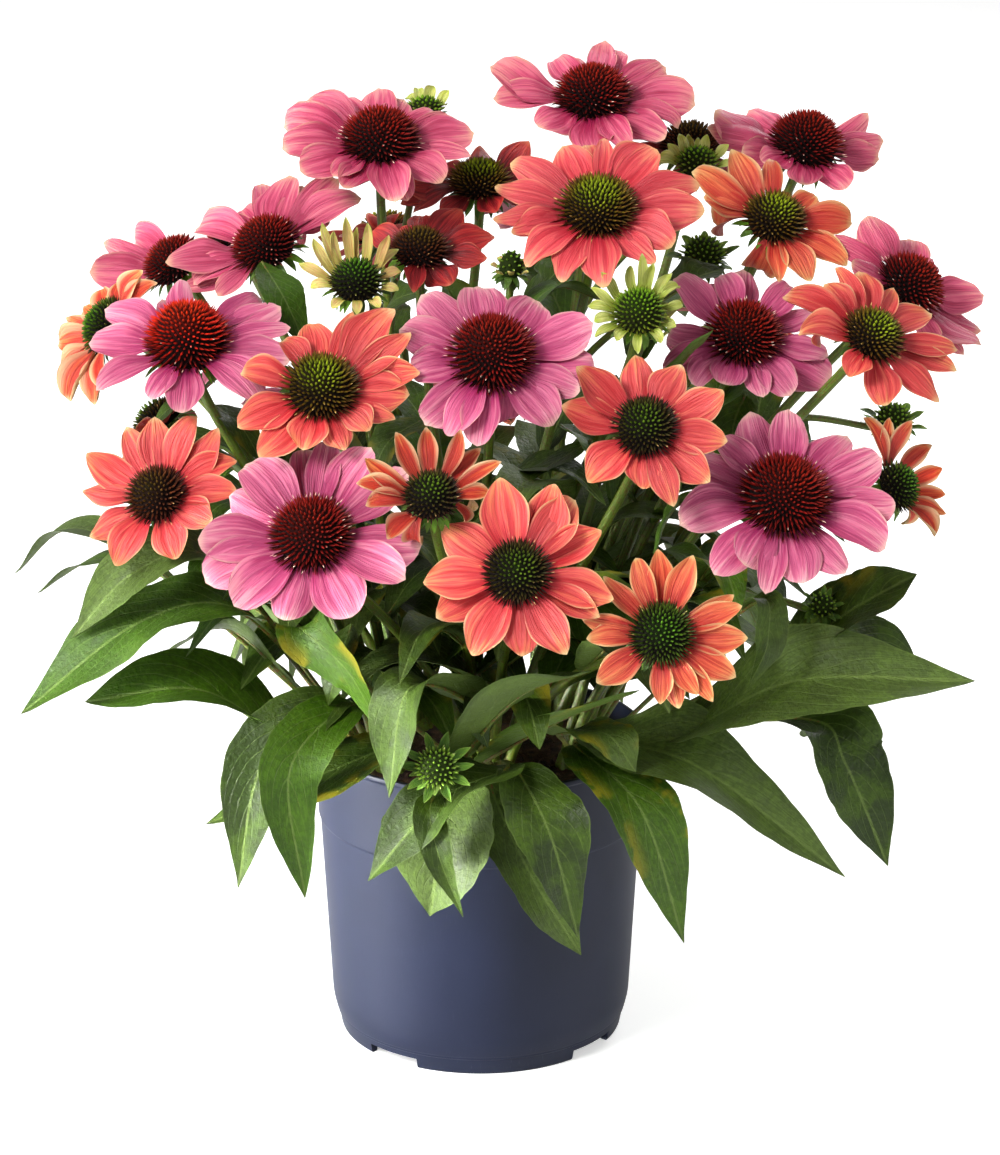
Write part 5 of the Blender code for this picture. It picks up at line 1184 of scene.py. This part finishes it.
def cone_finish(name, crown, shoulder, edge, tip, painted_highlight):
    """A cone's spines: dark at their roots and over the dome, painted shade among the crowded spines,
    coloured along their shafts by how far out they stand, brighter on the crown and darker at the edge
    partly as painted light and shade, and another colour at their points. A few carry a pale speck, a
    painted highlight."""
    made, tree, shader, way, tone = started(name)
    # Brighter on the crown and darker at the edge: partly the florets' own colours, partly painted light on the
    # crown and painted shade at the edge.
    shaft = blended(tree, ramped(tree, way[0], 0.02, 0.32), crown, shoulder)
    shaft = blended(tree, ramped(tree, way[0], 0.38, 0.85), shaft, edge)
    # Painted shade: the spines' roots and the whole dome are darkened to near black, as shade falls among the
    # crowded spines.
    colour = blended(tree, ramped(tree, way[1], 0.05, 0.6), dimmed(tree, shaft, 0.08), shaft)
    pointed = times(tree, ramped(tree, way[1], 0.5, 1.0), ramped(tree, way[0], 0.05, 0.35, 0.3, 0.9))
    colour = blended(tree, pointed, colour, tip)
    # Painted highlight: a few spines carry a pale speck near their points, standing in for highlights on the
    # florets.
    pale = times(tree, ramped(tree, tone[2], 0.90, 0.91), ramped(tree, way[0], 0.3, 0.5))
    colour = blended(tree, times(tree, pale, ramped(tree, way[1], 0.6, 0.85)), colour, painted_highlight)
    colour = dimmed(tree, colour, ramped(tree, tone[2], 0.0, 1.0, 0.65, 1.3))
    joined(tree, shader, colour, ramped(tree, way[1], 0.0, 0.6, 1.0, 0.5), way[1], 0.0002, 0.3,
           Specular_IOR_Level=0.18)
    return made


def leaf_finish(name, light, dark, fresh, vein, old):
    """A leaf's skin: two greens in patches, fresher on some leaves and greyer on others, a pale rib and side
    veins, a net darkened as painted shade in its sunken lines, yellow patches towards the edge of some
    leaves, and a paler underside."""
    made, tree, shader, way, tone = started(name)
    patch, fine = (use(tree, MOTTLE, Place=place_of(tree), Scale=scale)[0] for scale in (55.0, 420.0))
    rib, side_vein, net = use(tree, LEAF_VEINS, Across=way[0], Along=way[1], Seed=way[2], From_rib=tone[1])
    light_share = ramped(tree, plus(tree, patch, less(tree, tone[2], 0.5)), 0.0, 1.0)
    colour = blended(tree, light_share, dark, light)
    bright = maths(tree, "PINGPONG", times(tree, tone[2], 7.3), 1.0)
    colour = blended(tree, ramped(tree, bright, 0.62, 0.95, 0.0, 0.6), colour, fresh)
    colour = blended(tree, ramped(tree, bright, 0.34, 0.05, 0.0, 0.4), colour, vein)
    colour = dimmed(tree, colour, ramped(tree, fine, 0.0, 1.0, 0.86, 1.10))
    # Painted shade: the net's sunken lines are darkened, as shade falls in them.
    colour = blended(tree, times(tree, net, 0.30), colour, dimmed(tree, dark, 0.7))
    worn = times(tree, ramped(tree, tone[2], 0.62, 0.8), ramped(tree, patch, 0.45, 1.0))
    worn = times(tree, worn, ramped(tree, tone[1], 0.25, 0.95))
    colour = blended(tree, times(tree, worn, 0.75), colour, old)
    edge = ramped(tree, maths(tree, "ABSOLUTE", way[0]), 0.95, 1.0, 0.0, 0.35)
    for mask in (times(tree, side_vein, 0.30), times(tree, rib, 0.60), edge, times(tree, tone[0], 0.45)):
        colour = blended(tree, mask, colour, vein)
    sunk = times(tree, maths(tree, "MAXIMUM", rib, side_vein), -1.0)
    height = plus(tree, times(tree, fine, 0.25), maths(tree, "MAXIMUM", times(tree, net, -0.3), sunk))
    joined(tree, shader, colour, ramped(tree, patch, 0.0, 1.0, 0.46, 0.58), height, 0.0007, 1.0,
           Specular_IOR_Level=0.30)
    return made


def stem_finish(name, light, dark, flush, flush_share):
    """A stem's or a stalk's skin: green streaked lengthwise, with brown-red flecks where it is flushed."""
    made, tree, shader, way, _ = started(name)
    round_about = maths(tree, "SINE", times(tree, way[0], 6.283))
    streak = use(tree, STREAKS, Across=round_about, Along=times(tree, way[1], 3.0), Seed=way[2], Count=3.0)[0]
    fleck = use(tree, MOTTLE, Place=place_of(tree), Scale=700.0)[0]
    reddened = times(tree, ramped(tree, fleck, 0.5, 1.0), flush_share)
    colour = blended(tree, reddened, blended(tree, streak, dark, light), flush)
    joined(tree, shader, colour, 0.48, plus(tree, streak, fleck), 0.0002, 0.5)
    return made


def plastic_finish():
    """The pot's plastic: a grey-blue skin with a faint upright grain, paler where it has been rubbed."""
    made, tree, shader, _, _ = started("pot plastic")
    place = place_of(tree)
    stretched = put(tree, "Mapping", {"Vector": place, "Scale": (1.0, 1.0, 0.12)}).outputs[0]
    grain = noise(tree, stretched, 900.0)
    height = put(tree, "SeparateXYZ", {0: place}).outputs[2]
    colour = blended(tree, use(tree, MOTTLE, Place=place, Scale=24.0)[0], paint(20, 26, 46),
                     paint(22, 28, 49))
    rubbed = times(tree, ramped(tree, grain, 0.60, 0.85), ramped(tree, height, 0.02, 0.0, 0.03, 0.2))
    colour = blended(tree, rubbed, colour, paint(96, 104, 120))
    joined(tree, shader, colour, 0.46, grain, 0.00004, 0.3, Specular_IOR_Level=0.24)
    return made


def soil_finish():
    """Peat: dark red-brown crumbs, each a little lighter or darker."""
    made, tree, shader, _, tone = started("peat soil")
    place = place_of(tree)
    fine = noise(tree, place, 1500.0, 3.0)
    colour = blended(tree, use(tree, MOTTLE, Place=place, Scale=160.0)[0], paint(52, 34, 26),
                     paint(98, 66, 48))
    shade = ramped(tree, plus(tree, fine, times(tree, tone[2], 0.3)), 0.3, 1.0, 0.6, 1.3)
    joined(tree, shader, dimmed(tree, colour, shade), 0.92, fine, 0.0008, 0.9)
    return made


def palette(*colours):
    """Each of the colours, given as 0 to 255, as the light that it stands for."""
    return [paint(*colour) for colour in colours]


# A petal's colours (0 to 255): at its root, over its middle, at its tip, of its stripes and of the painted
# shade in its grooves, along its edges and underneath. Its pale edge starts at a place along it and at a place
# across it.
PETAL_COLOURS = {
    "rose": ("rose petals", (168, 24, 76), (224, 92, 128), (242, 148, 150), (172, 34, 78), (250, 200, 160),
             (198, 80, 104)),
    "pink": ("pink petals", (168, 28, 92), (216, 98, 140), (238, 156, 172), (166, 44, 98), (248, 204, 184),
             (196, 96, 120)),
    "salmon": ("salmon petals", (196, 30, 52), (230, 80, 88), (248, 140, 112), (190, 34, 50),
               (252, 206, 140), (206, 64, 62)),
    "coral": ("coral petals", (198, 32, 46), (232, 86, 82), (250, 146, 98), (188, 26, 34), (254, 220, 156),
              (186, 34, 36)),
    "amber": ("amber petals", (198, 40, 34), (236, 104, 66), (250, 162, 98), (188, 22, 24), (255, 226, 156),
              (196, 60, 40)),
    "red": ("dark red petals", (104, 6, 16), (180, 26, 34), (214, 72, 54), (96, 6, 14), (220, 120, 84),
            (140, 20, 28)),
    "flame": ("flame petals", (190, 44, 20), (222, 66, 36), (248, 146, 76), (172, 18, 20), (252, 224, 170),
              (244, 204, 140)),
    "blush": ("blush quills", (204, 216, 70), (246, 226, 140), (228, 234, 96), (232, 146, 112),
              (248, 246, 156), (222, 222, 104)),
    "lime": ("lime quills", (164, 190, 46), (232, 234, 140), (210, 226, 70), (168, 182, 56),
             (240, 244, 170), (182, 200, 70)),
    "bud": ("bud bracts", (70, 112, 20), (104, 152, 36), (156, 194, 76), (60, 100, 18), (184, 214, 110),
            (88, 132, 36)),
}
PALE_EDGES = {"rose": (0.3, 0.86), "pink": (0.3, 0.86), "salmon": (0.3, 0.86), "coral": (0.1, 0.86),
              "amber": (-0.1, 0.74), "red": (0.3, 0.86), "flame": (-0.4, 0.5), "blush": (0.0, 0.86),
              "lime": (0.0, 0.86), "bud": (0.1, 0.86)}
PETALS = {kind: petal_finish(name, *palette(*colours), *PALE_EDGES[kind])
          for kind, (name, *colours) in PETAL_COLOURS.items()}

# A cone's colours (0 to 255): its spines on the crown, the shoulder and the edge (partly painted light and
# shade), their points and the painted highlights on a few of them
CONE_COLOURS = {
    "wine": ((140, 28, 12), (132, 20, 14), (58, 8, 12), (134, 30, 22), (240, 206, 186)),
    "fire": ((206, 50, 14), (204, 36, 14), (66, 8, 12), (190, 36, 20), (230, 190, 170)),
    "olive": ((140, 158, 26), (104, 84, 18), (66, 34, 14), (112, 56, 26), (216, 180, 110)),
    "brown": ((92, 72, 18), (92, 48, 18), (60, 18, 14), (92, 28, 22), (206, 166, 110)),
    "moss": ((86, 116, 20), (60, 56, 14), (42, 14, 10), (66, 18, 14), (190, 150, 100)),
    "green": ((76, 122, 18), (64, 88, 16), (48, 36, 12), (56, 44, 16), (190, 180, 100)),
    "lime": ((108, 156, 20), (104, 140, 26), (96, 108, 26), (120, 100, 36), (206, 200, 110)),
    "bud": ((98, 138, 30), (104, 140, 34), (112, 146, 42), (150, 184, 72), (200, 206, 130)),
}
CONES = {kind: cone_finish(kind + " cone", *palette(*colours)) for kind, colours in CONE_COLOURS.items()}

LEAF = leaf_finish("leaf", *palette((62, 86, 14), (40, 58, 8), (66, 106, 4), (108, 130, 62), (146, 132, 22)))
BRACTS = leaf_finish("bracts", *palette((92, 126, 36), (50, 80, 16), (104, 148, 24), (130, 156, 76),
                                        (130, 130, 50)))
STALK = stem_finish("leaf stalk", *palette((112, 126, 44), (70, 88, 22), (120, 62, 34)), 0.7)
STEM = stem_finish("stem", *palette((106, 128, 34), (60, 82, 14), (96, 54, 22)), 0.5)


# The pieces

PETAL_SLOTS = {"petals_rose": (1, 2, 3, 6, 7, 18, 41, 48), "petals_pink": (11, 14, 16, 20, 23, 43),
               "petals_red": (9, 10, 33), "petals_opening": (8, 15)}
PETAL_GRID, BACK_PETAL_GRID, BUD_PETAL_GRID = (15, 9), (11, 7), (9, 5)
FUSED_SINK, STEM_SEED_STEP = 0.0013, 1.37


def bloom(head):
    """A head's petals with its bracts, and its cone. What grows from a stem of the solids stays in it."""
    back, bud = head.number >= FIRST_AT_BACK, head.number in BUDS
    fused = bud or head.number in ON_STEM
    label = f"{'bud' if bud else 'bloom'}_{head.number:02d}"
    sink, node = FUSED_SINK if fused else 0.0, f"bloom_{head.number:02d}"
    if fused:
        ring_nodes, cone_nodes = (), ()
    elif head.number in WHOLE_HEADS:
        ring_nodes = cone_nodes = (node + "_head",)
    else:
        ring_nodes, cone_nodes = (node + "_petals",), (node + "_cone",)
    petals, spiny = Gathered(), Gathered()
    petal_ring(petals, head, *(BUD_PETAL_GRID if bud else BACK_PETAL_GRID if back else PETAL_GRID), sink=sink)
    bracts(petals, head, sink)
    slot = next((name for name, numbers in PETAL_SLOTS.items() if head.number in numbers), "petals_coral")
    petals.piece(label + "_ring", (PETALS[head.kind], BRACTS), "greens" if fused else slot, ring_nodes)
    cone(spiny, head, COARSE_SPINE_AREA if back or bud else SPINE_AREA, sink)
    spiny.piece(label + "_spines", (CONES[head.cone],), "cone_spines", cone_nodes, 60)


def leafy_stems(clump):
    """What grows from one rootstock: its stems with their bristles, and its leaves."""
    label = clump.replace(" ", "_")
    node = "leafy_stems_" + label
    stems, leaves = Gathered(), Gathered()
    rootstock(stems, clump)
    for head in HEADS:
        if head.clump == clump:
            stem(stems, head, head.number * STEM_SEED_STEP)
            bristles(stems, head)
    stems.piece(label + "_stems", (STEM,), "greens", (node,), 50)
    skirt_leaves(leaves, clump)
    stem_leaves(leaves, clump)
    leaves.piece(label + "_leaves", (LEAF, STALK), "greens", (node,))


for head in HEADS:
    bloom(head)
for clump in CLUMPS:
    leafy_stems(clump)
pot(plastic_finish())
soil(soil_finish())


# The floor, the light and the camera

FLOOR_REACH = 6
WHITE = (1.0, 1.0, 1.0, 1.0)

# A light: its name, its place, the point that it looks at, its size, its power, its colour and its spread
# (degrees)
LIGHTS = (
    ("key light", (-1.4, -1.5, 1.9), (0.0, 0.0, 0.28), 0.8, 74, (1.0, 0.99, 0.97), 180),
    ("edge light", (-1.3, -0.45, 0.25), (0.0, 0.0, 0.10), 0.9, 16, (0.97, 0.985, 1.0), 180),
    ("pot light", (-1.0, -0.30, 0.06), (-0.03, -0.03, 0.06), 0.34, 2.0, (1.0, 1.0, 0.98), 20),
    ("fill light", (1.9, -1.0, 1.0), (0.0, 0.0, 0.25), 1.0, 9, (0.97, 0.98, 1.0), 180),
    ("back light", (0.9, 1.8, 1.4), (0.0, 0.0, 0.25), 1.0, 25, (1.0, 1.0, 1.0), 180),
)


def lamp(name, place, aim, size, power, colour, spread):
    """A soft square light that looks from its place at a point, its light kept within a spread in degrees."""
    light = bpy.data.lights.new(name, "AREA")
    light.size, light.energy, light.color, light.spread = size, power, colour, math.radians(spread)
    made = new_object(name, light)
    made.location = place
    made.rotation_euler = (Vector(aim) - Vector(place)).to_track_quat("-Z", "Y").to_euler()


def for_camera(tree, otherwise, directly):
    """One value where the camera sees a surface directly, and another for all other light."""
    return ramped(tree, put(tree, "LightPath").outputs["Is Camera Ray"], 0.0, 1.0, otherwise, directly)


floor_mesh = bpy.data.meshes.new("studio_floor")
floor_corners = [(x * FLOOR_REACH, y * FLOOR_REACH, 0) for x, y in ((-1, -1), (1, -1), (1, 1), (-1, 1))]
floor_mesh.from_pydata(floor_corners, [], [(0, 1, 2, 3)])
floor = new_object("studio_floor", floor_mesh)
floor_finish = bpy.data.materials.new("pale floor")
floor_finish.use_nodes = True
floor_tree = floor_finish.node_tree
fed(floor_tree, floor_tree.nodes["Principled BSDF"], {
    "Base Color": paint(250, 250, 250), "Roughness": 0.9, "Emission Color": WHITE,
    "Emission Strength": for_camera(floor_tree, 0.0, 0.45)})
floor_mesh.materials.append(floor_finish)

world = bpy.data.worlds.new("studio")
world.use_nodes = True
studio = world.node_tree
fed(studio, studio.nodes["Background"], {"Color": WHITE, "Strength": for_camera(studio, 0.45, 1.0)})
bpy.context.scene.world = world
for light in LIGHTS:
    lamp(*light)
bpy.context.scene.view_settings.view_transform = "Standard"

camera = bpy.data.cameras.new("photo view")
camera.lens = FOCAL_PX / PHOTO_HEIGHT_PX * SENSOR_MM
camera.sensor_width = SENSOR_MM
eye = new_object("photo view", camera)
eye.location = EYE.tolist()
eye.rotation_euler = (math.radians(90) - EYE_PITCH, 0, 0)
bpy.context.scene.camera = eye
